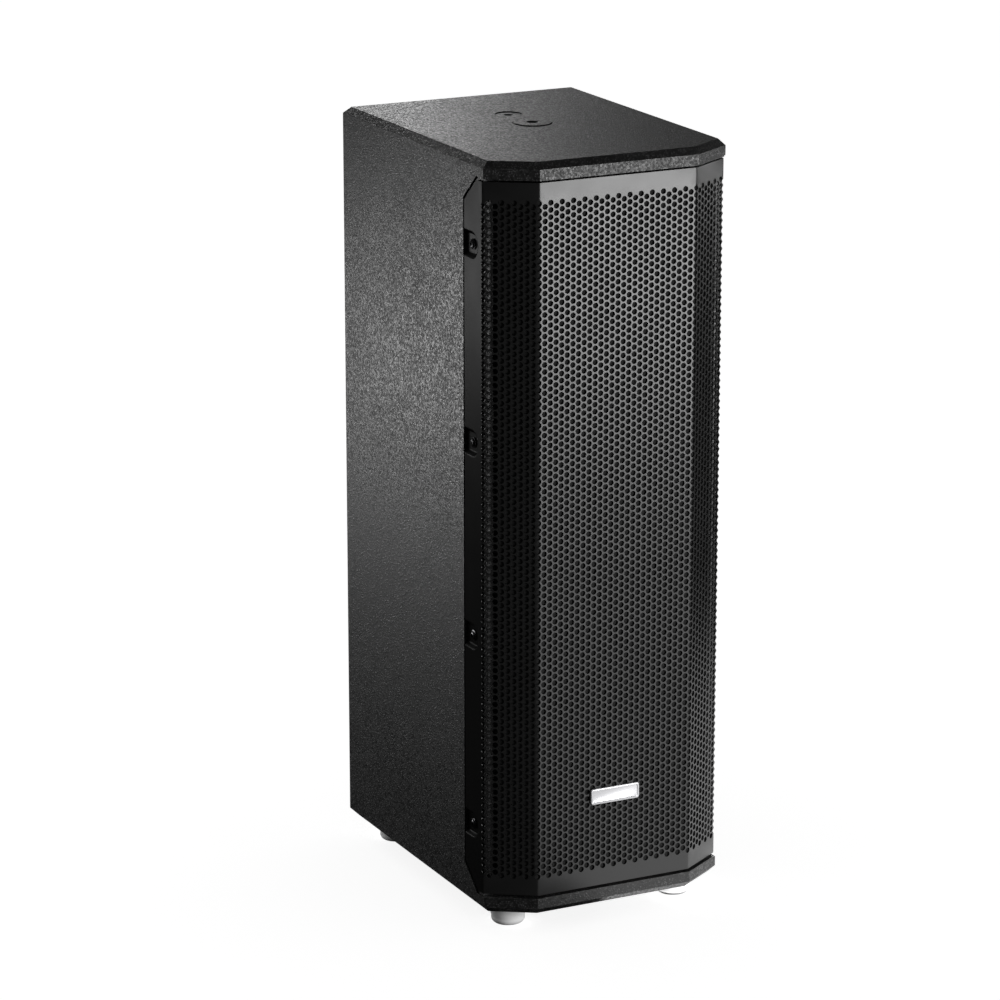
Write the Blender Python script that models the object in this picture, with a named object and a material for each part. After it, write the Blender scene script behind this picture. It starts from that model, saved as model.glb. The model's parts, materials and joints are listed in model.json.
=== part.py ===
"""A compact two-way column loudspeaker with its own amplifier, standing on four rubber feet.

Units are metres. A listener in front looks along +Y, with X to the right and Z up.
The origin is on the ground, under the middle of the cabinet.
"""

import math

import bmesh
import bpy
from mathutils import Matrix

# Driving dimensions of the cabinet
WIDTH = 0.225
DEPTH = 0.300
CABINET_HEIGHT = 0.650
FOOT_HEIGHT = 0.018
BOARD = 0.015  # plywood of the box
EDGE_BEVEL = 0.0057  # on the outer edges of the top and the bottom
REAR_RECESS = 0.024  # the side panels stand this far behind the rear panel
GAP = 0.0003  # clearance between two pieces that meet

# Driving dimensions of the grille, which is perforated steel sheet
SHEET = 0.0012
HOLE_PITCH = 0.006
COLUMN_STEP = HOLE_PITCH * math.sqrt(3) / 2
FRONT_COLUMNS = 28  # steps between the two front folds
CHAMFER_COLUMNS = 9  # steps across each slanting face
GRILLE_RECESS = 0.002  # the sheet lies this far inside the panels' edges
GRILLE_END_GAP = 0.002  # above and below the sheet

# The drivers, by their heights above the cabinet's underside
UPPER_WOOFER_HEIGHT = 0.540
HORN_HEIGHT = 0.373
LOWER_WOOFER_HEIGHT = 0.207
PORT_HEIGHT = 0.070
AMPLIFIER_HEIGHT = 0.235
BRACE_HEIGHT = 0.451

# Openings in the baffle, and the horn behind its own
WOOFER_OPENING = 0.0735
HORN_OPENING = (0.158, 0.132)
PORT_OPENING = 0.0293
PORT_X = 0.046
THROAT = 0.0127
HORN_DEPTH = 0.082

# Fittings in the top and the base, on the middle line, and the feet
FLY_POINT_Y = 0.0085
FLY_FLANGE = 0.0165
FLY_BARREL = 0.009
FLY_PROUD = 0.0008  # this flange stands above the panel
SAFETY_POINT_Y = 0.0545
SAFETY_FLANGE = 0.011
SAFETY_BARREL = 0.0065
SAFETY_SUNK = 0.0008  # this flange lies below it
FLANGE_THICKNESS = 0.0013
POLE_CUP_RADIUS = 0.018
POLE_CUP_DEPTH = 0.075
FOOT_X = 0.0805
FOOT_FRONT_Y = -0.107
FOOT_REAR_Y = 0.120

# The amplifier, measured from the middle of its plate as seen from behind: x right, y up
AMP_PLATE_WIDTH = 0.172
AMP_PLATE_HEIGHT = 0.336
AMP_BOX_WIDTH = 0.148
AMP_BOX_HEIGHT = 0.308
AMP_BOX_DEPTH = 0.078
PLATE_FRONT = GAP + 0.003
ON_PLATE = PLATE_FRONT + GAP
KNOB = (-0.050, 0.000)
FILTER_BUTTON = (-0.012, 0.000)
LIFT_BUTTON = (0.012, 0.000)
LED = (0.050, 0.000)
INPUT = (-0.038, -0.052)
LATCH_OFFSET = 0.0127
LINK = (0.038, -0.052)
INLET = (-0.036, -0.120)
SWITCH = (0.040, -0.120)

# Speaker wires inside
LOOM_RADIUS = 0.0022
LOOM_STEPS = 16

# Places that follow from them
HALF_WIDTH = WIDTH / 2
FRONT = -DEPTH / 2
BACK = DEPTH / 2
FLOOR = FOOT_HEIGHT  # the cabinet's underside
TOP = FLOOR + CABINET_HEIGHT
INNER_LOW = FLOOR + BOARD
INNER_HIGH = TOP - BOARD
INNER_HALF_WIDTH = HALF_WIDTH - BOARD
REAR_FACE = BACK - REAR_RECESS
BAFFLE_FRONT = FRONT + 0.032

FOLD_X = FRONT_COLUMNS / 2 * COLUMN_STEP
GRILLE_FRONT = FRONT + GRILLE_RECESS
GRILLE_SIDE = HALF_WIDTH - GAP
CHAMFER_RISE = math.sqrt((CHAMFER_COLUMNS * COLUMN_STEP) ** 2 - (GRILLE_SIDE - FOLD_X) ** 2)
CHAMFER_ANGLE = math.atan2(CHAMFER_RISE, GRILLE_SIDE - FOLD_X)
SIDE_FRONT = GRILLE_FRONT + CHAMFER_RISE + SHEET  # front edge of the side panels
GRILLE_LOW = INNER_LOW + GRILLE_END_GAP
GRILLE_HIGH = INNER_HIGH - GRILLE_END_GAP

# The grille's flange on each side, its pressed scoops and their screws
FLANGE_BACK = -0.0895
FLANGE_SLANT_START = -0.1135
FLANGE_SLANT_RISE = 0.0205
REBATE_MARGIN = 0.0015
SCREW_Y = -0.1015
SCREW_FIRST_HEIGHT = 0.0732
SCREW_SPACING = 0.168
SCREWS_PER_SIDE = 4
SCOOP_CENTRE_Y = -0.1035
SCOOP_HALF = 0.0115
SCOOP_DEPTH = 0.003
SCOOP_SLOPE = 0.0035 / 0.003  # how much narrower the scoop is for each metre of depth
SCREW_HOLE = 0.0024

# Turns a shape drawn as seen from the front, the back or the right so that its Z points there
FACING_FRONT = Matrix.Rotation(math.pi / 2, 4, "X")
FACING_BACK = Matrix.Rotation(math.pi, 4, "Z") @ FACING_FRONT
FACING_RIGHT = Matrix(((0, 0, 1, 0), (1, 0, 0, 0), (0, 1, 0, 0), (0, 0, 0, 1)))


# ---------------------------------------------------------------- helpers


def make_material(name, colour, roughness, metallic=0.0):
    made = bpy.data.materials.new(name)
    made.use_nodes = True
    shader = made.node_tree.nodes["Principled BSDF"]
    shader.inputs["Base Color"].default_value = (*colour, 1)
    shader.inputs["Roughness"].default_value = roughness
    shader.inputs["Metallic"].default_value = metallic
    return made


def make_empty(name, location, facing):
    """A holder that its pieces are parented to, with its Z along their own axis."""
    holder = bpy.data.objects.new(name, None)
    bpy.context.scene.collection.objects.link(holder)
    holder.matrix_world = Matrix.Translation(location) @ facing
    return holder


def place(name, shape, finish, location=(0, 0, 0), facing=None, parent=None, smooth=False):
    """Makes a named object from a bmesh. facing turns it before it is moved to its location."""
    bmesh.ops.recalc_face_normals(shape, faces=shape.faces)
    mesh = bpy.data.meshes.new(name)
    shape.to_mesh(mesh)
    shape.free()
    if smooth:
        mesh.shade_smooth()
        mesh.set_sharp_from_angle(angle=math.radians(35))
    piece = bpy.data.objects.new(name, mesh)
    bpy.context.scene.collection.objects.link(piece)
    piece.parent = parent
    piece.matrix_local = Matrix.Translation(location) @ (facing or Matrix.Identity(4))
    if finish:
        mesh.materials.append(finish)
    return piece


def shape_with(piece, other, operation):
    """Adds a Boolean modifier to piece. The other shape is a helper in the same place."""
    tool = place(f"{piece.name}_{operation.lower()}_{len(piece.modifiers)}", other, None, parent=piece)
    tool.hide_render = True
    tool.display_type = "WIRE"
    modifier = piece.modifiers.new(tool.name, "BOOLEAN")
    modifier.operation = operation
    modifier.object = tool


def cut(piece, shape):
    shape_with(piece, shape, "DIFFERENCE")


def join(piece, shape):
    shape_with(piece, shape, "UNION")


def loft(rings, closed=False):
    """Skins rings of the same number of points. An open row of rings gets a face at each end."""
    shape = bmesh.new()
    rows = [[shape.verts.new(point) for point in ring] for ring in rings]
    pairs = list(zip(rows, rows[1:]))
    if closed:
        pairs.append((rows[-1], rows[0]))
    else:
        shape.faces.new(rows[0])
        shape.faces.new(rows[-1])
    for row, following in pairs:
        for i in range(len(row)):
            j = (i + 1) % len(row)
            shape.faces.new((row[i], row[j], following[j], following[i]))
    return shape


def prism(outline, low, high):
    """A flat outline of (x, y) points, extruded from low to high."""
    return loft([[(x, y, z) for x, y in outline] for z in (low, high)])


def block(low, high):
    """A box between two corners."""
    outline = [(low[0], low[1]), (high[0], low[1]), (high[0], high[1]), (low[0], high[1])]
    return prism(outline, low[2], high[2])


def plate(width, height, low, high, centre=(0, 0)):
    """A box of this width and height about a centre, from low to high."""
    x, y = centre
    return block((x - width / 2, y - height / 2, low), (x + width / 2, y + height / 2, high))


def arc(centre, radius, start, end, steps):
    """Points along a circle, with angles in degrees."""
    angles = [math.radians(start + (end - start) * i / steps) for i in range(steps + 1)]
    return [(centre[0] + radius * math.cos(a), centre[1] + radius * math.sin(a)) for a in angles]


def rounded_plate(width, height, radius, low, high, steps=3):
    outline = []
    for quarter, (x, y) in enumerate(((1, 1), (-1, 1), (-1, -1), (1, -1))):
        centre = (x * (width / 2 - radius), y * (height / 2 - radius))
        outline += arc(centre, radius, quarter * 90, quarter * 90 + 90, steps)
    return prism(outline, low, high)


def turned(profile, steps=24):
    """A closed profile of (radius, height) points, turned about Z."""
    shape = bmesh.new()
    verts = [shape.verts.new((radius, 0, height)) for radius, height in profile]
    edges = []
    for i, vert in enumerate(verts):
        following = verts[(i + 1) % len(verts)]
        if vert.co.x > 0 or following.co.x > 0:
            edges.append(shape.edges.new((vert, following)))
    bmesh.ops.spin(shape, geom=verts + edges, axis=(0, 0, 1), angle=2 * math.pi, steps=steps)
    bmesh.ops.remove_doubles(shape, verts=shape.verts, dist=1e-6)
    return shape


def rod(radius, low, high, centre=(0, 0), steps=20):
    shape = turned([(0, high), (radius, high), (radius, low), (0, low)], steps)
    bmesh.ops.translate(shape, verts=shape.verts, vec=(*centre, 0))
    return shape


def together(shapes):
    """Puts several shapes into one bmesh, as separate bodies."""
    whole = bmesh.new()
    for shape in shapes:
        mesh = bpy.data.meshes.new("part")
        bmesh.ops.recalc_face_normals(shape, faces=shape.faces)
        shape.to_mesh(mesh)
        shape.free()
        whole.from_mesh(mesh)
        bpy.data.meshes.remove(mesh)
    return whole


def turn(shape, matrix):
    bmesh.ops.transform(shape, matrix=matrix, verts=shape.verts)
    return shape


# ---------------------------------------------------------------- materials

for old in list(bpy.data.objects):
    bpy.data.objects.remove(old)

PAINTED_PLY = make_material("painted_plywood", (0.022, 0.022, 0.023), 0.62)
BARE_PLY = make_material("bare_plywood", (0.55, 0.40, 0.24), 0.7)
BLACK_STEEL = make_material("black_steel_sheet", (0.012, 0.012, 0.012), 0.32)
BRIGHT_PLATE = make_material("bright_plate", (0.85, 0.85, 0.86), 0.22, 1.0)
DARK_STEEL = make_material("dark_steel", (0.10, 0.10, 0.11), 0.3, 1.0)
ZINC = make_material("zinc_plate", (0.55, 0.56, 0.58), 0.35, 1.0)
PAINTED_STEEL = make_material("painted_steel", (0.03, 0.03, 0.03), 0.55)
RUBBER = make_material("rubber", (0.015, 0.015, 0.015), 0.8)
PALE_RUBBER = make_material("pale_rubber", (0.55, 0.55, 0.55), 0.6)
FOAM = make_material("foam", (0.01, 0.01, 0.01), 0.95)
CAST_FRAME = make_material("cast_frame", (0.03, 0.03, 0.03), 0.5, 0.6)
CONE_PAPER = make_material("cone_paper", (0.02, 0.02, 0.02), 0.85)
SPIDER_CLOTH = make_material("spider_cloth", (0.45, 0.30, 0.10), 0.9)
BLACK_PLASTIC = make_material("black_plastic", (0.02, 0.02, 0.02), 0.45)
TITANIUM = make_material("titanium_foil", (0.5, 0.5, 0.52), 0.3, 1.0)
BLACK_ALUMINIUM = make_material("black_aluminium", (0.03, 0.03, 0.03), 0.4, 0.8)
CIRCUIT_BOARD = make_material("circuit_board", (0.02, 0.12, 0.05), 0.4)
COPPER = make_material("copper_winding", (0.60, 0.28, 0.10), 0.35, 1.0)
RED_PLASTIC = make_material("red_plastic", (0.45, 0.02, 0.02), 0.35)
CLEAR_GREEN = make_material("clear_green", (0.05, 0.5, 0.12), 0.15)


# ---------------------------------------------------------------- cabinet


def front_corners(inset, side):
    """Where the front meets the chamfer, and the chamfer the line x = side, for an outline
    that lies inside the grille's outer face by inset."""
    x = FOLD_X - inset * math.sin(CHAMFER_ANGLE)
    y = GRILLE_FRONT + inset * math.cos(CHAMFER_ANGLE)
    slope = math.tan(CHAMFER_ANGLE)
    front = GRILLE_FRONT + inset
    return (x + (front - y) / slope, front), (side, y + (side - x) * slope)


def panel_outline():
    """The plan of the top and the bottom panel."""
    (x, y), (side, side_y) = front_corners(-GRILLE_RECESS, HALF_WIDTH)
    right = [(x, y), (side, side_y), (side, BACK)]
    return right + [(-a, b) for a, b in reversed(right)]


def end_panel(name, low, high, outside):
    """The top or bottom panel, bevelled round the edge that is outside."""
    shape = prism(panel_outline(), low, high)
    edges = [e for e in shape.edges if all(abs(v.co.z - outside) < 1e-6 for v in e.verts)]
    bmesh.ops.bevel(shape, geom=edges, offset=EDGE_BEVEL, segments=1, affect="EDGES")
    return place(name, shape, PAINTED_PLY)


def scoop_outline(half, back):
    """A round-ended scoop as (y, z) points about its own middle height."""
    front_end = arc((SCOOP_CENTRE_Y, 0), half, 90, 270, 8)
    return [(back, half), *front_end, (back, -half)]


def screw_heights():
    return [FLOOR + SCREW_FIRST_HEIGHT + SCREW_SPACING * i for i in range(SCREWS_PER_SIDE)]


def on_each_screw(make, side):
    """Copies of a shape drawn about a screw, looking along X, at every screw of one side."""
    shapes = []
    for height in screw_heights():
        shape = turn(make(), Matrix.Translation((0, 0, height)) @ FACING_RIGHT)
        shapes.append(turn(shape, Matrix.Diagonal((side, 1, 1, 1))))
    return shapes


def flange_outline(margin, front, low, high):
    """The grille's side flange as (y, z) points, grown at the back by a margin."""
    back = FLANGE_BACK + margin
    slant = FLANGE_SLANT_START + margin
    rise = FLANGE_SLANT_RISE
    return [(front, low), (slant, low), (back, low + rise), (back, high - rise), (slant, high), (front, high)]


def side_panel(name, side):
    """A side panel with a rebate for the grille's flange and pockets for its scoops."""
    low = (INNER_HALF_WIDTH, SIDE_FRONT, INNER_LOW + GAP)
    high = (HALF_WIDTH, BACK, INNER_HIGH - GAP)
    mirror = Matrix.Diagonal((side, 1, 1, 1))
    panel = place(name, turn(block(low, high), mirror), PAINTED_PLY)

    flange_inside = GRILLE_SIDE - SHEET
    outline = flange_outline(REBATE_MARGIN, SIDE_FRONT - 0.01, INNER_LOW - 0.001, INNER_HIGH + 0.001)
    rebate = prism(outline, flange_inside - GAP, HALF_WIDTH + 0.01)
    cut(panel, turn(rebate, mirror @ FACING_RIGHT))

    pocket_floor = flange_inside - SCOOP_DEPTH - 2 * GAP
    pocket_back = FLANGE_BACK + REBATE_MARGIN - 0.0002

    def pocket():
        return prism(scoop_outline(SCOOP_HALF + 0.002, pocket_back), pocket_floor, HALF_WIDTH + 0.005)

    def pilot_hole():
        return rod(SCREW_HOLE, INNER_HALF_WIDTH + 0.0015, HALF_WIDTH, (SCREW_Y, 0), 12)

    cut(panel, together(on_each_screw(pocket, side)))
    cut(panel, together(on_each_screw(pilot_hole, side)))


def cabinet():
    top = end_panel("top_panel", INNER_HIGH, TOP, TOP)
    fly = (FLY_POINT_Y, FLY_FLANGE, FLY_BARREL, FLY_PROUD)
    safety = (SAFETY_POINT_Y, SAFETY_FLANGE, SAFETY_BARREL, -SAFETY_SUNK)
    for y, flange, barrel, seat in (fly, safety):
        counterbore = TOP + seat - FLANGE_THICKNESS - GAP
        cut(top, rod(barrel + 2 * GAP, INNER_HIGH - 0.01, TOP + 0.01, (0, y), 18))
        cut(top, rod(flange + 2 * GAP, counterbore, TOP + 0.01, (0, y), 18))

    bottom = end_panel("bottom_panel", FLOOR, INNER_LOW, FLOOR)
    cut(bottom, rod(POLE_CUP_RADIUS + 0.002, FLOOR - 0.01, INNER_LOW + 0.01, (0, FLY_POINT_Y), 24))

    side_panel("side_panel_right", 1)
    side_panel("side_panel_left", -1)

    half = INNER_HALF_WIDTH - GAP
    low, high = INNER_LOW + GAP, INNER_HIGH - GAP
    rear = place("rear_panel", block((-half, REAR_FACE - BOARD, low), (half, REAR_FACE, high)), PAINTED_PLY)
    opening = plate(AMP_BOX_WIDTH + 0.004, AMP_BOX_HEIGHT + 0.004, -0.02, 0.02)
    to_amplifier = Matrix.Translation((0, REAR_FACE, FLOOR + AMPLIFIER_HEIGHT)) @ FACING_BACK
    cut(rear, turn(opening, to_amplifier))

    baffle = place(
        "front_baffle", block((-half, BAFFLE_FRONT, low), (half, BAFFLE_FRONT + BOARD, high)), PAINTED_PLY
    )
    openings = [
        rod(WOOFER_OPENING, -0.03, 0.01, steps=24),
        rod(WOOFER_OPENING, -0.03, 0.01, steps=24),
        plate(*HORN_OPENING, -0.03, 0.01),
        rod(PORT_OPENING, -0.03, 0.01, (-PORT_X, 0), 18),
        rod(PORT_OPENING, -0.03, 0.01, (PORT_X, 0), 18),
    ]
    heights = (UPPER_WOOFER_HEIGHT, LOWER_WOOFER_HEIGHT, HORN_HEIGHT, PORT_HEIGHT, PORT_HEIGHT)
    for opening, height in zip(openings, heights):
        turn(opening, Matrix.Translation((0, BAFFLE_FRONT, FLOOR + height)) @ FACING_FRONT)
    cut(baffle, together(openings))

    thickness = 0.012
    brace_low = FLOOR + BRACE_HEIGHT - thickness / 2
    brace = place(
        "window_brace",
        block(
            (-half, BAFFLE_FRONT + BOARD + GAP, brace_low),
            (half, REAR_FACE - BOARD - GAP, brace_low + thickness),
        ),
        BARE_PLY,
    )
    window = rounded_plate(0.130, 0.150, 0.03, brace_low - 0.01, brace_low + thickness + 0.01, 4)
    cut(brace, turn(window, Matrix.Translation((0, 0.004, 0))))


# ---------------------------------------------------------------- fixings


def insert(name, y, flange, barrel, hole, length, seat):
    """A blind threaded bush in the top panel. seat is the height of its flange's upper face."""
    profile = [
        (0, -length),
        (barrel, -length),
        (barrel, -FLANGE_THICKNESS),
        (flange, -FLANGE_THICKNESS),
        (flange, 0),
        (hole, 0),
        (hole, 0.003 - length),
        (0, 0.003 - length),
    ]
    place(name, turned(profile, 18), PAINTED_STEEL, location=(0, y, seat), smooth=True)


def fixings():
    insert("fly_insert", FLY_POINT_Y, FLY_FLANGE, FLY_BARREL, 0.00575, 0.028, TOP + FLY_PROUD)
    insert("safety_insert", SAFETY_POINT_Y, SAFETY_FLANGE, SAFETY_BARREL, 0.004, 0.022, TOP - SAFETY_SUNK)

    wall, flange, edge = 0.0015, 0.030, 0.002
    outer, end = POLE_CUP_RADIUS + wall, POLE_CUP_DEPTH
    cup = [
        (0, end),
        (outer, end),
        (outer, -GAP),
        (flange, -GAP),
        (flange, -GAP - edge),
        (POLE_CUP_RADIUS, -GAP - edge),
        (POLE_CUP_RADIUS, end - wall),
        (0, end - wall),
    ]
    place("pole_cup", turned(cup, 24), BLACK_STEEL, location=(0, FLY_POINT_Y, FLOOR), smooth=True)

    foot = [
        (0.0025, FOOT_HEIGHT - GAP),
        (0.0162, FOOT_HEIGHT - GAP),
        (0.0162, 0.010),
        (0.0150, 0.0015),
        (0.0138, 0),
        (0.0065, 0),
        (0.0060, 0.011),
        (0.0025, 0.011),
    ]
    for end_name, y in (("front", FOOT_FRONT_Y), ("rear", FOOT_REAR_Y)):
        for side_name, x in (("left", -FOOT_X), ("right", FOOT_X)):
            name = f"foot_{end_name}_{side_name}"
            place(name, turned(foot, 18), PALE_RUBBER, location=(x, y, 0), smooth=True)


# ---------------------------------------------------------------- grille


def bent_sheet(outside, inside, side_end=None):
    """A sheet between two insets from the grille's outer face. It runs on along the sides to
    side_end, or stops on the slanting faces, two hole columns short of the sides."""
    outer, inner = [], []
    for line, inset in ((outer, outside), (inner, inside)):
        front, fold = front_corners(inset, GRILLE_SIDE - inset)
        if side_end is None:
            length = (CHAMFER_COLUMNS - 2) * COLUMN_STEP
            run = (length * math.cos(CHAMFER_ANGLE), length * math.sin(CHAMFER_ANGLE))
            line += [front, (front[0] + run[0], front[1] + run[1])]
        else:
            line += [front, fold, (GRILLE_SIDE - inset, side_end)]
    outline = [(-x, y) for x, y in outer[::-1]] + outer + inner[::-1] + [(-x, y) for x, y in inner]
    return prism(outline, GRILLE_LOW, GRILLE_HIGH)


def grille():
    panel = place("grille", bent_sheet(0, SHEET, FLANGE_BACK), BLACK_STEEL)

    # The ends of both flanges are cut on the slant.
    rise, run = FLANGE_SLANT_RISE, 0.03
    slant = (FLANGE_BACK - FLANGE_SLANT_START) / rise
    corners = []
    for end, way in ((GRILLE_LOW, 1), (GRILLE_HIGH, -1)):
        triangle = [
            (FLANGE_SLANT_START - 0.001 * slant, end - way * 0.001),
            (FLANGE_BACK + run, end - way * 0.001),
            (FLANGE_BACK + run, end + way * (rise + run / slant)),
        ]
        corners.append(turn(prism(triangle, -0.2, 0.2), FACING_RIGHT))
    cut(panel, together(corners))

    def scoop_half(depth):
        return SCOOP_HALF - SCOOP_SLOPE * depth

    wall = SHEET / math.sin(math.atan(1 / SCOOP_SLOPE))

    def at_depth(depth, half, back):
        return [(y, z, GRILLE_SIDE - depth) for y, z in scoop_outline(half, back)]

    def pressed_metal():
        top, bottom, back = SHEET / 2, SCOOP_DEPTH + SHEET, FLANGE_BACK - 0.0002
        return loft([at_depth(d, scoop_half(d) + wall, back) for d in (bottom, top)])

    def scooped_air():
        back = FLANGE_BACK + 0.01
        return loft([at_depth(d, scoop_half(d), back) for d in (SCOOP_DEPTH, -0.001)])

    def screw_hole():
        return rod(SCREW_HOLE, GRILLE_SIDE - 0.01, GRILLE_SIDE, (SCREW_Y, 0), 12)

    for make, operation in ((pressed_metal, join), (scooped_air, cut), (screw_hole, cut)):
        operation(panel, together(on_each_screw(make, 1) + on_each_screw(make, -1)))

    place("grille_foam", bent_sheet(SHEET + GAP, SHEET + 0.005), FOAM)

    badge = rounded_plate(0.047, 0.0145, 0.002, GAP, GRILLE_RECESS)
    place("badge", badge, BRIGHT_PLATE, location=(0, GRILLE_FRONT, FLOOR + 0.098), facing=FACING_FRONT)

    head, shank = 0.0046, 0.0020
    screw = [
        (0, 0.0010),
        (0.0016, 0.0010),
        (0.0016, 0.0024),
        (0.0034, 0.0022),
        (head, 0.0009),
        (head, 0),
        (shank, 0),
        (shank, -0.010),
        (0, -0.010),
    ]
    seat = GRILLE_SIDE - SCOOP_DEPTH + GAP
    for side_name, side in (("left", -1), ("right", 1)):
        outward = Matrix.Rotation(side * math.pi / 2, 4, "Y")
        for number, height in enumerate(screw_heights(), 1):
            name = f"grille_screw_{side_name}_{number}"
            place(name, turned(screw, 12), DARK_STEEL, (side * seat, SCREW_Y, height), outward, smooth=True)


# ---------------------------------------------------------------- woofers


def basket_shape():
    profile = [
        (0.0840, 0.0040),
        (0.0840, GAP),
        (0.0720, GAP),
        (0.0705, -0.0100),
        (0.0460, -0.0440),
        (0.0460, -0.0480),
        (0.0240, -0.0480),
        (0.0240, -0.0460),
        (0.0425, -0.0460),
        (0.0430, -0.0430),
        (0.0675, -0.0090),
        (0.0675, 0.0040),
    ]
    return turned(profile, 24)


def basket_windows(count=6):
    """Openings between the spokes of the basket."""
    windows = []
    for i in range(count):
        window = plate(0.034, 0.022, -0.0385, -0.0130, (0, 0.058))
        windows.append(turn(window, Matrix.Rotation(2 * math.pi * i / count, 4, "Z")))
    return together(windows)


MOTOR_PROFILE = [
    (0.0060, -0.0483),
    (0.0175, -0.0483),
    (0.0175, -0.0700),
    (0.0215, -0.0700),
    (0.0215, -0.0483),
    (0.0460, -0.0483),
    (0.0460, -0.0540),
    (0.0440, -0.0540),
    (0.0440, -0.0700),
    (0.0460, -0.0700),
    (0.0460, -0.0760),
    (0.0060, -0.0760),
]

# Dust cap, cone and voice-coil former, which are glued together and move as one
CONE_PROFILE = [
    (0, -0.0100),
    (0.0090, -0.0112),
    (0.0170, -0.0147),
    (0.0230, -0.0200),
    (0.0616, 0.0045),
    (0.0616, 0.0033),
    (0.0240, -0.0222),
    (0.0196, -0.0240),
    (0.0196, -0.0560),
    (0.0188, -0.0560),
    (0.0188, -0.0205),
    (0.0160, -0.0155),
    (0.0085, -0.0124),
    (0, -0.0113),
]


def surround_profile():
    """The half roll between the cone's edge and the basket's rim."""
    lip, thickness = 0.0044, 0.0010
    middle, roll = 0.0675, 0.0053
    outside = arc((middle, lip), roll, 180, 0, 5)
    inside = arc((middle, lip), roll - thickness, 0, 180, 5)
    rim = [(0.0810, lip + thickness / 2), (0.0810, lip)]
    return outside[:-1] + [(middle + roll, lip + thickness / 2)] + rim + inside


def spider_profile():
    """The corrugated disc that centres the voice coil."""
    inner, outer, folds, thickness = 0.0204, 0.0420, 2, 0.0008
    steps = folds * 4 - 1
    upper = []
    for i in range(steps + 1):
        radius = inner + (outer - inner) * i / steps
        upper.append((radius, -0.0410 + 0.0013 * math.sin(math.pi / 2 * i)))
    lower = [(radius, height - thickness) for radius, height in reversed(upper)]
    return upper + lower


def woofer(name, height):
    centre = make_empty(name, (0, BAFFLE_FRONT, FLOOR + height), FACING_FRONT)
    basket = place(f"{name}_basket", basket_shape(), CAST_FRAME, parent=centre, smooth=True)
    cut(basket, basket_windows())
    place(f"{name}_motor", turned(MOTOR_PROFILE, 20), DARK_STEEL, parent=centre, smooth=True)
    place(f"{name}_cone", turned(CONE_PROFILE, 24), CONE_PAPER, parent=centre, smooth=True)
    place(f"{name}_surround", turned(surround_profile(), 24), RUBBER, parent=centre, smooth=True)
    place(f"{name}_spider", turned(spider_profile(), 20), SPIDER_CLOTH, parent=centre, smooth=True)


# ---------------------------------------------------------------- horn and its driver


def horn_ring(half_width, half_height, power, height, steps=24):
    """A ring between an ellipse, with power 2, and a rectangle, with a high power."""
    points = []
    for i in range(steps):
        angle = 2 * math.pi * (i + 0.5) / steps
        c, s = math.cos(angle), math.sin(angle)
        x = half_width * math.copysign(abs(c) ** (2 / power), c)
        y = half_height * math.copysign(abs(s) ** (2 / power), s)
        points.append((x, y, height))
    return points


def flare_ring(share, wall, face):
    """The horn's section at a share of the way from mouth to throat, grown by a wall."""
    opening = (1 - share) ** 1.7
    half_width = THROAT + wall + (0.073 - THROAT) * opening
    half_height = THROAT + wall + (0.061 - THROAT) * opening
    return horn_ring(half_width, half_height, 2 + 3 * opening, face - (face + HORN_DEPTH) * share)


def horn():
    face, wall, sections = 0.0043, 0.0025, 5
    shares = [i / sections for i in range(sections + 1)]
    inside = [flare_ring(share, 0, face) for share in shares]
    outside = [flare_ring(share, wall, face) for share in reversed(shares[1:-1])]
    collar = 0.030
    rings = inside
    collar_front = 0.005 - HORN_DEPTH
    rings += [horn_ring(collar, collar, 2, -HORN_DEPTH), horn_ring(collar, collar, 2, collar_front)]
    rings += [horn_ring(THROAT + wall, THROAT + wall, 2, collar_front)] + outside
    rings += [horn_ring(0.075, 0.063, 5, GAP), horn_ring(0.084, 0.072, 9, GAP)]
    rings.append(horn_ring(0.084, 0.072, 9, face))
    centre = make_empty("horn_assembly", (0, BAFFLE_FRONT, FLOOR + HORN_HEIGHT), FACING_FRONT)
    place("horn", loft(rings, closed=True), BLACK_PLASTIC, parent=centre, smooth=True)

    front, back, radius, bowl = -HORN_DEPTH - GAP, -0.112, 0.038, 0.026
    driver = [
        (THROAT, front),
        (radius, front),
        (radius, back),
        (bowl, back),
        (bowl, back + 0.008),
        (THROAT, back + 0.008),
    ]
    place("horn_driver", turned(driver), DARK_STEEL, parent=centre, smooth=True)

    rim, rise, foil = 0.0240, 0.0080, 0.0004
    dome = [(rim * math.sin(a), back + 0.004 - rise * math.cos(a)) for a in (0, 0.5, 1.0, 1.4)]
    dome.append((0.0255, back + 0.004))
    diaphragm = dome + [(r, z + foil) for r, z in reversed(dome)]
    place("horn_diaphragm", turned(diaphragm, 20), TITANIUM, parent=centre, smooth=True)

    end = back - 0.020
    cap = [
        (0, end),
        (radius - 0.004, end),
        (radius, end + 0.004),
        (radius, back - GAP),
        (bowl, back - GAP),
        (bowl, end + 0.003),
        (0, end + 0.003),
    ]
    place("horn_driver_cap", turned(cap), BLACK_PLASTIC, parent=centre, smooth=True)


# ---------------------------------------------------------------- reflex ports


def ports():
    profile = [
        (0.0300, 0.0028),
        (0.0340, 0.0018),
        (0.0340, GAP),
        (0.0285, GAP),
        (0.0280, -0.0900),
        (0.0260, -0.0900),
        (0.0260, -0.0060),
        (0.0270, -0.0010),
    ]
    for side_name, x in (("left", -PORT_X), ("right", PORT_X)):
        place(
            f"reflex_port_{side_name}",
            turned(profile, 18),
            BLACK_PLASTIC,
            location=(x, BAFFLE_FRONT, FLOOR + PORT_HEIGHT),
            facing=FACING_FRONT,
            smooth=True,
        )


# ---------------------------------------------------------------- amplifier
# Its pieces are drawn as seen from behind: x to the right, y up and z out of the back.


def at(point, low=0.0):
    return (point[0], point[1], low)


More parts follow.
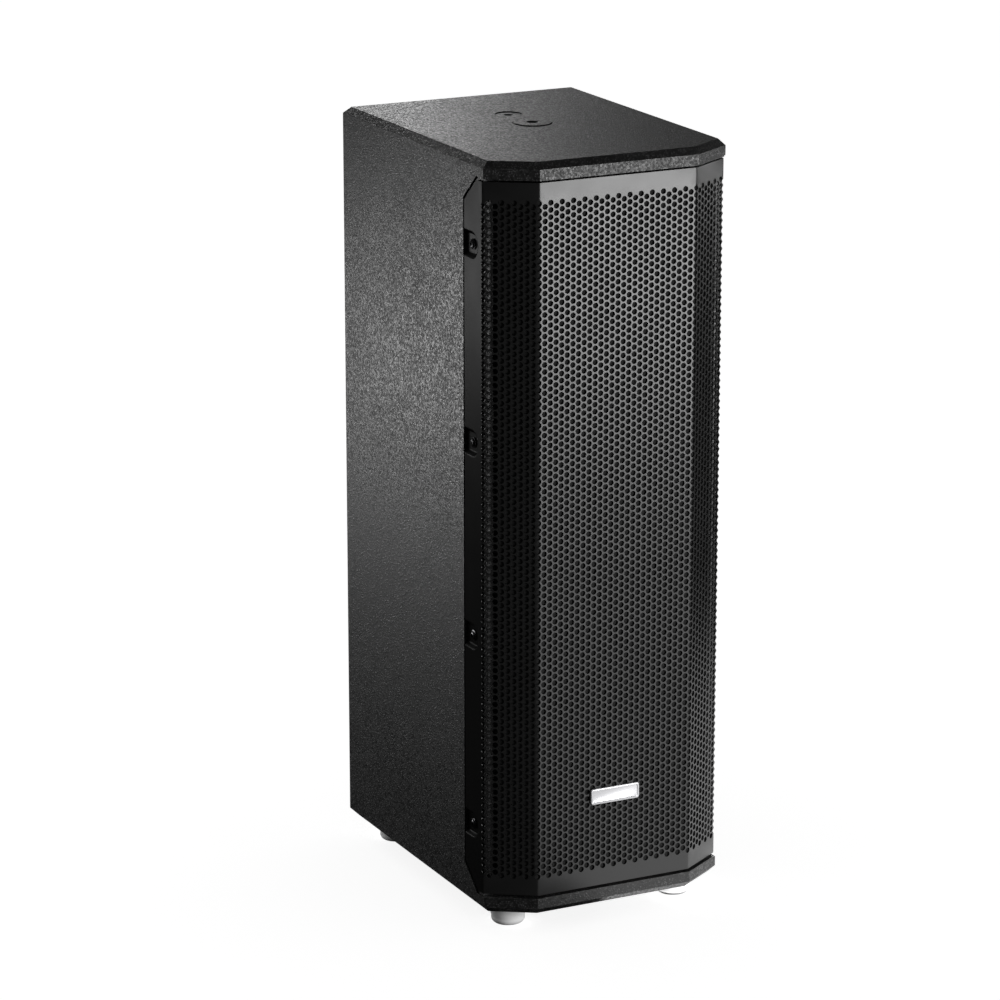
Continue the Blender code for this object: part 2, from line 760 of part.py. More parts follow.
def amplifier_case(centre):
    face = rounded_plate(AMP_PLATE_WIDTH, AMP_PLATE_HEIGHT, 0.006, GAP, PLATE_FRONT)
    amp_plate = place("amp_plate", face, BLACK_ALUMINIUM, parent=centre)
    below, above = -0.01, 0.01
    cut(
        amp_plate,
        together(
            [
                rod(0.0047, below, above, KNOB, 16),
                plate(0.0092, 0.0092, below, above, FILTER_BUTTON),
                plate(0.0092, 0.0092, below, above, LIFT_BUTTON),
                rod(0.0029, below, above, LED, 12),
                rod(0.0125, below, above, INPUT, 18),
                rod(0.0125, below, above, LINK, 18),
                plate(0.0290, 0.0220, below, above, INLET),
                plate(0.0285, 0.0205, below, above, SWITCH),
            ]
        ),
    )
    cut(amp_plate, plate(0.0076, 0.0056, below, above, (INPUT[0], INPUT[1] + LATCH_OFFSET)))

    wall = 0.0015
    box = place("amp_box", plate(AMP_BOX_WIDTH, AMP_BOX_HEIGHT, -AMP_BOX_DEPTH, 0), ZINC, parent=centre)
    inside = plate(AMP_BOX_WIDTH - 2 * wall, AMP_BOX_HEIGHT - 2 * wall, wall - AMP_BOX_DEPTH, 0.01)
    cut(box, inside)

    fins, pitch, thickness, reach = 15, 0.0098, 0.0018, 0.0215
    base, half = ON_PLATE + 0.004, 0.0755
    comb = [(half, ON_PLATE)]
    for i in range(fins):
        middle = (fins - 1) / 2 * pitch - i * pitch
        for x, z in ((1, base), (1, reach), (-1, reach), (-1, base)):
            comb.append((middle + x * thickness / 2, z))
    comb[1] = (half, base)
    comb[2] = (half, reach)
    comb[-2] = (-half, reach)
    comb[-1] = (-half, base)
    comb.append((-half, ON_PLATE))
    sink = turn(prism(comb, -0.155, -0.030), Matrix.Rotation(math.pi / 2, 4, "X"))
    place("heat_sink", sink, BLACK_ALUMINIUM, parent=centre)


def boards(centre):
    thickness = 0.0016
    board = plate(0.134, 0.122, -0.014, thickness - 0.014, (0, 0.084))
    power = place("power_board", board, CIRCUIT_BOARD, parent=centre)
    parts = [rod(0.011, -0.046, -0.0135, (x, 0.122), 16) for x in (-0.045, -0.015, 0.015)]
    parts.append(plate(0.040, 0.034, -0.044, -0.0135, (-0.036, 0.066)))
    parts.append(plate(0.012, 0.070, -0.052, -0.0135, (0.050, 0.080)))
    parts.append(plate(0.030, 0.024, -0.030, -0.0135, (0.012, 0.056)))
    join(power, together(parts))

    board = plate(0.134, 0.100, -0.034, thickness - 0.034, (0, -0.088))
    signal = place("signal_board", board, CIRCUIT_BOARD, parent=centre)
    parts = [plate(0.014, 0.014, -0.0325, -0.0300, (0, -0.062))]
    parts.append(plate(0.010, 0.020, -0.0325, -0.0290, (0, -0.115)))
    parts.append(plate(0.050, 0.008, -0.0450, -0.0335, (0, -0.128)))
    join(signal, together(parts))

    section = arc((0.0165, 0), 0.0085, 0, 315, 7)
    ring = [(radius, height * 1.4) for radius, height in section]
    place("power_transformer", turned(ring, 18), COPPER, at((0, -0.085), -0.0615), parent=centre, smooth=True)


def sockets(centre):
    """A combined plug and jack input, a link output with pins, and the mains inlet."""
    low, high = ON_PLATE, ON_PLATE + 0.002
    back = -0.024

    entry = place("input_socket", plate(0.026, 0.031, low, high), BLACK_PLASTIC, at(INPUT), parent=centre)
    join(entry, rod(0.012, back, high - 0.0005, steps=18))
    cut(entry, turned([(0.0080, 0.02), (0.0098, 0.02), (0.0098, -0.010), (0.0080, -0.010)], 18))
    cut(entry, rod(0.0033, -0.020, 0.02, steps=14))
    cut(entry, plate(0.0070, 0.0040, -0.008, 0.02, (0, LATCH_OFFSET)))
    latch = plate(0.0062, 0.0032, -0.0040, high + 0.0030, (0, LATCH_OFFSET))
    place("input_latch", latch, RED_PLASTIC, at(INPUT), parent=centre)

    exit_ = place("link_socket", plate(0.026, 0.031, low, high), BLACK_PLASTIC, at(LINK), parent=centre)
    join(exit_, rod(0.012, back, high - 0.0005, steps=18))
    cut(exit_, rod(0.0098, -0.012, 0.02, steps=18))
    pins = []
    for angle in (-17, 90, 197):
        pin = rod(0.0012, -0.0125, 0.001, (0.0055, 0), 8)
        pins.append(turn(pin, Matrix.Rotation(math.radians(angle), 4, "Z")))
    join(exit_, together(pins))

    inlet = place("power_inlet", plate(0.048, 0.027, low, high), BLACK_PLASTIC, at(INLET), parent=centre)
    join(inlet, plate(0.0280, 0.0210, back, high - 0.0005))
    cut(inlet, plate(0.0246, 0.0166, -0.015, 0.02))
    blade_places = ((-0.007, -0.002), (0.007, -0.002), (0, 0.003))
    join(inlet, together([plate(0.0020, 0.0050, -0.0155, 0.000, middle) for middle in blade_places]))


def controls(centre):
    body = [
        (0.0034, -0.0075),
        (0.0034, 0.0043),
        (0.0042, 0.0043),
        (0.0042, 0),
        (0.0085, 0),
        (0.0085, -0.0090),
        (0, -0.0090),
        (0, -0.0075),
    ]
    place("volume_pot", turned(body, 16), DARK_STEEL, at(KNOB), parent=centre, smooth=True)
    knob = [
        (0, -0.0065),
        (0.0030, -0.0065),
        (0.0030, 0.0050),
        (0.0105, 0.0050),
        (0.0105, 0.0070),
        (0.0090, 0.0080),
        (0.0080, 0.0185),
        (0.0070, 0.0195),
        (0, 0.0195),
    ]
    dial = place("volume_knob", turned(knob, 20), BLACK_PLASTIC, at(KNOB), parent=centre, smooth=True)
    cut(dial, plate(0.0010, 0.0100, 0.0190, 0.03, (0, 0.0070)))

    for name, point in (("filter_button", FILTER_BUTTON), ("lift_button", LIFT_BUTTON)):
        cap = place(name, plate(0.0080, 0.0080, -0.0070, 0.0085), BLACK_PLASTIC, at(point), parent=centre)
        bevel = cap.modifiers.new("edges", "BEVEL")
        bevel.width = 0.0008
        bevel.segments = 1

    lens = [(0, 0.0055), (0.0014, 0.0051), (0.0024, 0.0040), (0.0024, -0.0060), (0, -0.0060)]
    place("status_led", turned(lens, 12), CLEAR_GREEN, at(LED), parent=centre, smooth=True)

    rim = plate(0.0315, 0.0235, ON_PLATE, ON_PLATE + 0.002)
    frame = place("switch_body", rim, BLACK_PLASTIC, at(SWITCH), parent=centre)
    join(frame, plate(0.0275, 0.0195, -0.020, ON_PLATE + 0.001))
    cut(frame, plate(0.0230, 0.0160, -0.0120, 0.02))

    # Seen from its end the rocker is a shallow V. It turns about a line through its own origin.
    tilt, half, wing_height = math.radians(7), 0.0108, 0.0062
    wings = [(-half, wing_height), (0, wing_height - half * math.tan(tilt)), (half, wing_height)]
    wings += [(half * 0.75, -0.0035), (-half * 0.75, -0.0035)]
    rocker = turn(prism(wings, -0.0072, 0.0072), Matrix.Rotation(math.pi / 2, 4, "X"))
    pivot = at(SWITCH, ON_PLATE - 0.0006)
    place("power_rocker", rocker, BLACK_PLASTIC, pivot, Matrix.Rotation(tilt, 4, "Y"), centre)


def amplifier():
    centre = make_empty("amplifier", (0, REAR_FACE, FLOOR + AMPLIFIER_HEIGHT), FACING_BACK)
    amplifier_case(centre)
    boards(centre)
    sockets(centre)
    controls(centre)


# ---------------------------------------------------------------- wiring inside


def smooth_route(points, steps):
    """Points read from one smooth curve through the route's own points."""
    ends = [points[0]] + points + [points[-1]]
    spans = len(points) - 1
    route = []
    for i in range(steps + 1):
        place_on = spans * i / steps
        span = min(int(place_on), spans - 1)
        t = place_on - span
        a, b, c, d = ends[span : span + 4]
        weights = (
            (-t + 2 * t**2 - t**3) / 2,
            (2 - 5 * t**2 + 3 * t**3) / 2,
            (t + 4 * t**2 - 3 * t**3) / 2,
            (t**3 - t**2) / 2,
        )
        route.append([sum(w * p[k] for w, p in zip(weights, (a, b, c, d))) for k in range(3)])
    return route


def loom(name, points):
    """Speaker wires in a sleeve, from the amplifier's box to a woofer's terminals."""
    curve = bpy.data.curves.new(name, "CURVE")
    curve.dimensions = "3D"
    curve.bevel_depth = LOOM_RADIUS
    curve.bevel_resolution = 2
    curve.use_fill_caps = True
    route = smooth_route(points, LOOM_STEPS)
    spline = curve.splines.new("POLY")
    spline.points.add(len(route) - 1)
    for point, target in zip(spline.points, route):
        point.co = (*target, 1)
    curve.materials.append(RUBBER)
    bpy.context.scene.collection.objects.link(bpy.data.objects.new(name, curve))


def looms():
    start_y = REAR_FACE - AMP_BOX_DEPTH - 2 * GAP
    side = -0.056
    upper, lower = FLOOR + UPPER_WOOFER_HEIGHT, FLOOR + LOWER_WOOFER_HEIGHT
    clip = -0.052
    terminal = BAFFLE_FRONT + 0.046
    above = [
        (side, start_y, FLOOR + 0.365),
        (side, start_y - 0.012, FLOOR + 0.367),
        (side, 0.026, FLOOR + 0.400),
        (side, 0.010, upper - 0.080),
        (side, -0.020, upper - 0.045),
        (clip, terminal + 0.016, upper - 0.012),
        (clip, terminal, upper),
    ]
    below = [
        (side, start_y, FLOOR + 0.130),
        (side, start_y - 0.012, FLOOR + 0.132),
        (side, 0.008, lower - 0.050),
        (side, -0.030, lower - 0.030),
        (clip, terminal + 0.016, lower - 0.012),
        (clip, terminal, lower),
    ]
    loom("upper_loom", above)
    loom("lower_loom", below)


cabinet()
fixings()
grille()
woofer("upper_woofer", UPPER_WOOFER_HEIGHT)
woofer("lower_woofer", LOWER_WOOFER_HEIGHT)
horn()
ports()
amplifier()
looms()
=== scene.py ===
# %% [markdown]
# # A column loudspeaker, built up cell by cell
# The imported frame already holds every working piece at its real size, so this script only adds
# looks: a painted shell, a perforated grille, finer fittings and the finish of each surface.
# Loading the frame first gives each later step true places to measure from.

# %% Load the frame
import json
import math
import random

import bmesh
import bpy
from mathutils import Matrix, Vector, geometry

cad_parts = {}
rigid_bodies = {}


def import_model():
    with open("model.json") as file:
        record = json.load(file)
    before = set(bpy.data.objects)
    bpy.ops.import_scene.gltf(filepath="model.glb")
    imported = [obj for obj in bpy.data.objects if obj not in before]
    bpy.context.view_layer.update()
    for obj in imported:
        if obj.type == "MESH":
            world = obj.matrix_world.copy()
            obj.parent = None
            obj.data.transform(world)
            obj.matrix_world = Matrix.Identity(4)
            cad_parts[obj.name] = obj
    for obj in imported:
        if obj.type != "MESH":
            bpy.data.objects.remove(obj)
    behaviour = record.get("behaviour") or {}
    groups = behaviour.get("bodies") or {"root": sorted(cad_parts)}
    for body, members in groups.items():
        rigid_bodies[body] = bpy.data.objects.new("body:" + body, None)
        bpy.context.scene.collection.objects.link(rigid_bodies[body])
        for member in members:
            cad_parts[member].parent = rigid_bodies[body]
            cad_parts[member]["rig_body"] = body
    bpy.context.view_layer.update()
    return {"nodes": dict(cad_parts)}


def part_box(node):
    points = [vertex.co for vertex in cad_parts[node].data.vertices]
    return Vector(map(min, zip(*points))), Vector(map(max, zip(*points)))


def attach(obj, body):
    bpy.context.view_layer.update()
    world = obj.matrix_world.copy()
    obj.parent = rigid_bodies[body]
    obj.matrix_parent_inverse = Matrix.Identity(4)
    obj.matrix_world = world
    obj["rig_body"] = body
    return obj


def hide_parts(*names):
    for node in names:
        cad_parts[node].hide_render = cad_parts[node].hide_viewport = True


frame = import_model()
nodes = frame["nodes"]

# %% [markdown]
# ## The camera
# A studio shows a tall box from a little to one side and a little above, with a long lens, so
# that its edges stay nearly parallel. The camera could be aimed with a Track To constraint;
# here its three angles are set directly, which keeps them easy to read and to change.

# %% Place the camera
lens = bpy.data.cameras.new("studio_camera")
lens.sensor_width = 36
lens.lens = 150.6
camera = bpy.data.objects.new("studio_camera", lens)
camera.location = (-1.579, -3.113, 1.330)
camera.rotation_euler = (math.radians(90 - 15.87), 0, math.radians(-26.38))
bpy.context.scene.collection.objects.link(camera)
bpy.context.scene.camera = camera
bpy.context.scene.view_settings.view_transform = "Standard"
print("camera stands", round(camera.location.length, 2), "m away")

# %% [markdown]
# ## Floor and lights
# The stand is a plain pale floor. A black, half-gloss object is mostly seen by what it
# reflects, so the shapes of the lights matter more than their power: a wide panel low on the
# right for the front, one high behind for the top, one on the left for the side, and a wide
# one behind for the rear plate. The floor
# is pale to look at but darker to reflections, as if it ended just outside the view.

# %% Lay the floor
WHITE = (1, 1, 1, 1)


def new_object(name, data):
    made = bpy.data.objects.new(name, data)
    bpy.context.scene.collection.objects.link(made)
    return made


def fill(tree, node, values):
    """Puts values into a node's inputs: a socket is joined, and anything else is set."""
    for label, value in values.items():
        if isinstance(value, bpy.types.NodeSocket):
            tree.links.new(value, node.inputs[label])
        else:
            node.inputs[label].default_value = value
    return node


def add(tree, kind, values=None):
    return fill(tree, tree.nodes.new(f"ShaderNode{kind}"), values or {})


def either(tree, test, when_false, when_true):
    """A Mix Shader that picks one of two shaders by a test."""
    return add(tree, "MixShader", {"Fac": test, 1: when_false.outputs[0], 2: when_true.outputs[0]})


def new_finish(name, values=None):
    """A material, its node tree and its Principled BSDF, which takes the values."""
    made = bpy.data.materials.new(name)
    made.use_nodes = True
    tree = made.node_tree
    return made, tree, fill(tree, tree.nodes["Principled BSDF"], values or {})


floor_reach = 40
floor_corners = [(x * floor_reach, y * floor_reach, 0) for x, y in ((-1, -1), (1, -1), (1, 1), (-1, 1))]
floor_mesh = bpy.data.meshes.new("floor")
floor_mesh.from_pydata(floor_corners, [], [(0, 1, 2, 3)])
floor = new_object("floor", floor_mesh)

floor_look = {
    "Base Color": (0.86, 0.86, 0.86, 1),
    "Roughness": 0.9,
    "Specular IOR Level": 0.1,
    "Emission Color": WHITE,
    "Emission Strength": 0.87,
}
paper, tree, pale = new_finish("pale_floor", floor_look)
dark = add(tree, "BsdfDiffuse", {"Color": (0.10, 0.10, 0.10, 1)})
from_above = either(tree, add(tree, "LightPath").outputs["Is Camera Ray"], dark, pale)
from_below = add(tree, "BsdfTransparent")
one_sided = either(tree, add(tree, "NewGeometry").outputs["Backfacing"], from_above, from_below)
fill(tree, tree.nodes["Material Output"], {"Surface": one_sided.outputs[0]})
floor_mesh.materials.append(paper)
print("floor reaches", floor_reach, "m each way")

# %% Hang the lights


def panel_light(name, place, aim, size, power):
    """A soft rectangular lamp at a place, turned to look at a point."""
    lamp = bpy.data.lights.new(name, "AREA")
    lamp.shape = "RECTANGLE"
    lamp.size, lamp.size_y = size
    lamp.energy = power
    holder = new_object(name, lamp)
    holder.location = place
    holder.rotation_euler = (Vector(aim) - Vector(place)).to_track_quat("-Z", "Y").to_euler()
    holder.visible_camera = False
    return holder


def keep_dark(lamp, *pieces):
    """Keeps a lamp's light off some pieces, as a black card beside the lamp would."""
    card = lamp.light_linking.receiver_collection
    if card is None:
        card = bpy.data.collections.new(f"kept_from_{lamp.name}")
        lamp.light_linking.receiver_collection = card
    for piece in pieces:
        card.objects.link(piece)
        card.collection_objects[-1].light_linking.link_state = "EXCLUDE"


panel_light("front_panel", (0.62, -1.40, 0.38), (0, -0.15, 0.38), (0.8, 0.55), 17)
panel_light("table_glow", (0.40, -0.55, 0.002), (0.40, -0.55, 1), (0.8, 1.1), 4)
panel_light("back_panel", (0.30, 1.60, 1.20), (0, 0, 0.60), (0.8, 0.6), 7)
left_panel = panel_light("left_panel", (-0.80, 0.90, 0.21), (-0.11, 0, 0.32), (0.5, 0.2), 3.2)
panel_light("left_glow", (-0.80, 0.90, 0.32), (-0.11, 0, 0.36), (0.5, 0.2), 0.4)
panel_light("right_panel", (1.70, -0.10, 0.60), (0.10, 0, 0.50), (0.5, 0.5), 4.5)
panel_light("rear_panel", (0.50, 1.90, 0.38), (0, 0.15, 0.30), (1.2, 0.4), 26)

# The panels light the object only, so the floor stays evenly pale.
lamps = [o for o in bpy.data.objects if o.type == "LIGHT"]
for lamp in lamps:
    keep_dark(lamp, floor)
print("lights:", [lamp.name for lamp in lamps])

# %% Surround the stand with a soft sky
world = bpy.data.worlds.new("studio")
world.use_nodes = True
bpy.context.scene.world = world
tree = world.node_tree
soft_sky = fill(tree, tree.nodes["Background"], {"Color": WHITE, "Strength": 0.18})
dim_sky = add(tree, "Background", {"Strength": 0.06})
open_sky = add(tree, "Background", {"Color": WHITE, "Strength": 1.1})
rays = add(tree, "LightPath").outputs
on_the_object = either(tree, rays["Is Glossy Ray"], soft_sky, dim_sky)
whole_sky = either(tree, rays["Is Camera Ray"], on_the_object, open_sky)
fill(tree, tree.nodes["World Output"], {"Surface": whole_sky.outputs[0]})
print("sky:", world.name)

# %% [markdown]
# ## Tools for making pieces
# Most pieces here are outlines that are extruded or turned, then softened with a Bevel
# modifier. Each helper makes one of those shapes as a bmesh, and `settle` turns a bmesh into a
# finished piece that rides on its body and stands for the nodes of the frame that it replaces.

# %% Helpers for outlines and solids
FACING_FRONT = Matrix.Rotation(math.pi / 2, 4, "X")
FACING_BACK = Matrix.Rotation(math.pi, 4, "Z") @ FACING_FRONT
FACING_RIGHT = Matrix(((0, 0, 1, 0), (1, 0, 0, 0), (0, 1, 0, 0), (0, 0, 0, 1)))


def arc(centre, radius, start, end, steps):
    """Points along a circle, with angles in degrees."""
    angles = [math.radians(start + (end - start) * i / steps) for i in range(steps + 1)]
    return [(centre[0] + radius * math.cos(a), centre[1] + radius * math.sin(a)) for a in angles]


def on_circle(radius, angles):
    return [(radius * math.cos(a), radius * math.sin(a)) for a in angles]


def skin(rings, closed=False):
    """Joins rings of the same number of points, and caps the ends of an open row."""
    shape = bmesh.new()
    rows = [[shape.verts.new(point) for point in ring] for ring in rings]
    pairs = list(zip(rows, rows[1:]))
    if closed:
        pairs.append((rows[-1], rows[0]))
    else:
        shape.faces.new(rows[0])
        shape.faces.new(rows[-1])
    for row, following in pairs:
        for i in range(len(row)):
            j = (i + 1) % len(row)
            shape.faces.new((row[i], row[j], following[j], following[i]))
    return shape


def prism(outline, low, high):
    return skin([[(x, y, z) for x, y in outline] for z in (low, high)])


def block(low, high):
    outline = [(low[0], low[1]), (high[0], low[1]), (high[0], high[1]), (low[0], high[1])]
    return prism(outline, low[2], high[2])


def round_corners(width, height, radius, steps=6, centre=(0, 0)):
    """The outline of a rectangle with round corners."""
    outline = []
    for quarter, (x, y) in enumerate(((1, 1), (-1, 1), (-1, -1), (1, -1))):
        corner = (centre[0] + x * (width / 2 - radius), centre[1] + y * (height / 2 - radius))
        outline += arc(corner, radius, quarter * 90, quarter * 90 + 90, steps)
    return outline


def turned(profile, steps=64):
    """A closed profile of (radius, height) points, turned about Z."""
    shape = bmesh.new()
    verts = [shape.verts.new((radius, 0, height)) for radius, height in profile]
    edges = []
    for i, vert in enumerate(verts):
        following = verts[(i + 1) % len(verts)]
        if vert.co.x > 0 or following.co.x > 0:
            edges.append(shape.edges.new((vert, following)))
    bmesh.ops.spin(shape, geom=verts + edges, axis=(0, 0, 1), angle=2 * math.pi, steps=steps)
    bmesh.ops.remove_doubles(shape, verts=shape.verts, dist=1e-6)
    return shape


def rod(radius, low, high, centre=(0, 0), steps=32):
    return moved(turned([(0, high), (radius, high), (radius, low), (0, low)], steps), (*centre, 0))


def moved(shape, by):
    bmesh.ops.translate(shape, verts=shape.verts, vec=by)
    return shape


def turned_by(shape, matrix):
    bmesh.ops.transform(shape, matrix=matrix, verts=shape.verts)
    return shape


def gathered(shapes):
    """Several bodies in one bmesh."""
    whole = bmesh.new()
    for shape in shapes:
        bmesh.ops.recalc_face_normals(shape, faces=shape.faces)
        carrier = bpy.data.meshes.new("carrier")
        shape.to_mesh(carrier)
        shape.free()
        whole.from_mesh(carrier)
        bpy.data.meshes.remove(carrier)
    return whole


print("outline helpers are ready")

# %% Helpers that finish a piece
SMOOTH_BELOW = math.radians(35)


def mesh_of(name, shape):
    bmesh.ops.recalc_face_normals(shape, faces=shape.faces)
    mesh = bpy.data.meshes.new(name)
    shape.to_mesh(mesh)
    shape.free()
    return mesh


def carve(piece, shapes, operation="DIFFERENCE"):
    """Applies each shape to the piece as a Boolean, one after another."""
    tools = []
    for number, shape in enumerate(shapes):
        tool = new_object(f"{piece.name}_tool_{number}", mesh_of("tool", shape))
        tool.matrix_world = piece.matrix_world
        tools.append(tool)
        cut = piece.modifiers.new(tool.name, "BOOLEAN")
        cut.operation = operation
        cut.object = tool
    freeze(piece)
    for tool in tools:
        bpy.data.objects.remove(tool)
    return piece


def freeze(piece):
    """Makes the piece's modifiers part of its mesh."""
    bpy.context.view_layer.update()
    graph = bpy.context.evaluated_depsgraph_get()
    final = bpy.data.meshes.new_from_object(piece.evaluated_get(graph))
    piece.modifiers.clear()
    piece.data = final
    return piece


def thicken(piece, thickness, offset=-1):
    """Gives a sheet its thickness, behind its face or in front of it."""
    depth = piece.modifiers.new("thickness", "SOLIDIFY")
    depth.thickness = thickness
    depth.offset = offset
    return freeze(piece)


def soften(piece, width, segments=2, angle=30):
    """Rounds the piece's sharper edges."""
    rounding = piece.modifiers.new("rounding", "BEVEL")
    rounding.width = width
    rounding.segments = segments
    rounding.limit_method = "ANGLE"
    rounding.angle_limit = math.radians(angle)
    return freeze(piece)


def start(name, shape, place=(0, 0, 0), turn=None):
    piece = new_object(name, mesh_of(name, shape))
    piece.matrix_world = Matrix.Translation(place) @ (turn or Matrix.Identity(4))
    return piece


def settle(piece, finish, nodes_replaced=(), body="cabinet", seat=None):
    """The last step for every new piece: its place, shading, finish and body."""
    if seat is not None:
        piece.matrix_world = seat
    mesh = piece.data
    mesh.shade_smooth()
    mesh.set_sharp_from_angle(angle=SMOOTH_BELOW)
    if not mesh.materials:
        mesh.materials.append(finish)
    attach(piece, body)
    if nodes_replaced:
        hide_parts(*nodes_replaced)
    return piece


def middle_of(node):
    low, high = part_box(node)
    return (low + high) / 2


print("helpers are ready")

# %% [markdown]
# ## Effects that several finishes share
# Thick textured paint, moulded plastic, brushed metal, a painted highlight along edges and dust are each
# built once as a node group with named inputs. A material then places the group and gives it its own
# values. All of them read Object coordinates, so the grain keeps its true size in metres on
# every piece, however the piece was modelled.

# %% A helper that opens a node group


def open_group(name, inputs, outputs):
    """A new shader group, with the sockets that it is given and the node of its results."""
    group = bpy.data.node_groups.new(name, "ShaderNodeTree")
    for label, value in inputs.items():
        kind = "NodeSocketColor" if isinstance(value, tuple) else "NodeSocketFloat"
        socket = group.interface.new_socket(label, in_out="INPUT", socket_type=kind)
        socket.default_value = value
    for label, kind in outputs.items():
        group.interface.new_socket(label, in_out="OUTPUT", socket_type=f"NodeSocket{kind}")
    return group, group.nodes.new("NodeGroupInput").outputs, group.nodes.new("NodeGroupOutput")


def math_node(tree, operation, first, second, clamp=False):
    """A Math node whose inputs are sockets or numbers. Returns its output."""
    node = add(tree, "Math", {0: first, 1: second})
    node.operation = operation
    node.use_clamp = clamp
    return node.outputs[0]


def times(tree, first, second, clamp=False):
    return math_node(tree, "MULTIPLY", first, second, clamp)


def plus(tree, first, second, clamp=False):
    return math_node(tree, "ADD", first, second, clamp)


def spread(tree, value, low, high, to_low=0.0, to_high=1.0):
    """Maps the range low..high of a value on to another range."""
    ranges = {"Value": value, "From Min": low, "From Max": high, "To Min": to_low, "To Max": to_high}
    return add(tree, "MapRange", ranges).outputs["Result"]


def mix_colours(tree, share, first, second):
    node = add(tree, "Mix")
    node.data_type = "RGBA"
    first_place, second_place = [i for i, socket in enumerate(node.inputs) if socket.type == "RGBA"]
    fill(tree, node, {"Factor": share, first_place: first, second_place: second})
    return next(socket for socket in node.outputs if socket.type == "RGBA")


def noise(tree, size, detail=2.0, stretch=None):
    """Noise whose features are about `size` metres across, from a socket or a number."""
    where = add(tree, "TexCoord").outputs["Object"]
    if stretch:
        where = add(tree, "Mapping", {"Scale": stretch, "Vector": where}).outputs["Vector"]
    scale = 1 / size if isinstance(size, float) else math_node(tree, "DIVIDE", 1.0, size)
    return add(tree, "TexNoise", {"Vector": where, "Detail": detail, "Scale": scale}).outputs["Fac"]


def relief(tree, height, strength, distance):
    values = {"Strength": strength, "Distance": distance, "Height": height}
    return add(tree, "Bump", values).outputs["Normal"]


print("node helpers are ready")

# %% Thick textured paint, sprayed so that it dries in small beads, with painted highlight and shade on them
textured_paint, given, result = open_group(
    "textured_paint",
    {"Bead": 0.0012, "Relief": 0.6, "Dark": (0.01, 0.01, 0.01, 1), "Light": (0.04, 0.04, 0.04, 1),
     "Roughness": 0.5},
    {"Colour": "Color", "Roughness": "Float", "Normal": "Vector"},
)
tree, bead = textured_paint, given["Bead"]
beads_across = math_node(tree, "DIVIDE", 1.0, bead)
drops = add(tree, "TexVoronoi", {"Vector": add(tree, "TexCoord").outputs["Object"], "Scale": beads_across})
chance = add(tree, "SeparateColor", {"Color": drops.outputs["Color"]}).outputs
dome = spread(tree, drops.outputs["Distance"], 0.05, 0.60, 1, 0)
blobs = times(tree, dome, spread(tree, chance["Red"], 0.0, 1.0, 0.15, 1.0))
swell = noise(tree, times(tree, bead, 3.0), 2.0)
height = plus(tree, blobs, times(tree, swell, 0.5))
glint = spread(tree, chance["Green"], 0.0, 1.0, -0.10, 0.22)
swing = plus(tree, glint, spread(tree, noise(tree, 0.12, 2.0), 0, 1, -0.05, 0.05))
# The colour is lighter on each bead's dome and darker between the beads: a random tone per bead, with
# painted highlight and shade that follow the relief.
painted = {
    "Colour": mix_colours(tree, spread(tree, height, 0.35, 1.1), given["Dark"], given["Light"]),
    "Roughness": plus(tree, given["Roughness"], swing),
    "Normal": relief(tree, height, given["Relief"], times(tree, bead, 0.35)),
}
fill(tree, result, painted)
print("group:", textured_paint.name)

# %% Fine grain, for powder coat, moulded plastic, castings and paper
fine_grain, given, result = open_group(
    "fine_grain",
    {"Size": 0.0005, "Relief": 0.2, "Base": (0.02, 0.02, 0.02, 1), "Variation": 0.25, "Roughness": 0.4,
     "Roughness range": 0.1},
    {"Colour": "Color", "Roughness": "Float", "Normal": "Vector"},
)
tree = fine_grain
grain = noise(tree, given["Size"], 3.0)
clouds = noise(tree, 0.03, 3.0)
unevenness = plus(tree, plus(tree, grain, clouds), -1.0)
tint = add(tree, "VectorMath")
tint.operation = "SCALE"
lightness = plus(tree, times(tree, unevenness, given["Variation"]), 1.0)
fill(tree, tint, {0: given["Base"], "Scale": lightness})
swing = times(tree, plus(tree, clouds, -0.5), given["Roughness range"])
grained_surface = {
    "Colour": tint.outputs[0],
    "Roughness": plus(tree, given["Roughness"], swing, clamp=True),
    "Normal": relief(tree, grain, given["Relief"], times(tree, given["Size"], 0.2)),
}
fill(tree, result, grained_surface)
print("group:", fine_grain.name)

# %% Painted highlight along edges: where a rounded normal differs from the true one, an edge is near
rubbed_edges, given, result = open_group("rubbed_edges", {"Width": 0.001, "Amount": 0.5}, {"Mask": "Float"})
tree = rubbed_edges
rounded = add(tree, "Bevel", {"Radius": given["Width"]})
rounded.samples = 4
compared = add(tree, "VectorMath")
compared.operation = "DOT_PRODUCT"
fill(tree, compared, {0: rounded.outputs["Normal"], 1: add(tree, "NewGeometry").outputs["Normal"]})
edge = spread(tree, compared.outputs["Value"], 0.995, 0.90)
broken_up = times(tree, edge, spread(tree, noise(tree, 0.006, 4.0), 0.42, 0.62))
fill(tree, result, {"Mask": times(tree, broken_up, given["Amount"], clamp=True)})
print("group:", rubbed_edges.name)

# %% Settled dust: only on faces that look up
settled_dust, given, result = open_group("settled_dust", {"Amount": 0.1}, {"Mask": "Float"})
tree = settled_dust
facing = add(tree, "SeparateXYZ", {0: add(tree, "NewGeometry").outputs["Normal"]})
upward = spread(tree, facing.outputs["Z"], 0.6, 1.0)
drift = spread(tree, noise(tree, 0.05, 6.0), 0.35, 0.75)
fill(tree, result, {"Mask": times(tree, times(tree, upward, drift), given["Amount"])})
print("group:", settled_dust.name)

# %% Brushed metal: noise drawn out along one direction
brushed, given, result = open_group(
    "brushed", {"Roughness": 0.3, "Swing": 0.15, "Relief": 0.15}, {"Roughness": "Float", "Normal": "Vector"}
)
tree = brushed
strokes = noise(tree, 0.0006, 3.0, stretch=(0.02, 0.02, 1))
swing = times(tree, plus(tree, strokes, -0.5), given["Swing"])
brushed_surface = {
    "Roughness": plus(tree, given["Roughness"], swing),
    "Normal": relief(tree, strokes, given["Relief"], 0.0001),
}
fill(tree, result, brushed_surface)
print("group:", brushed.name)

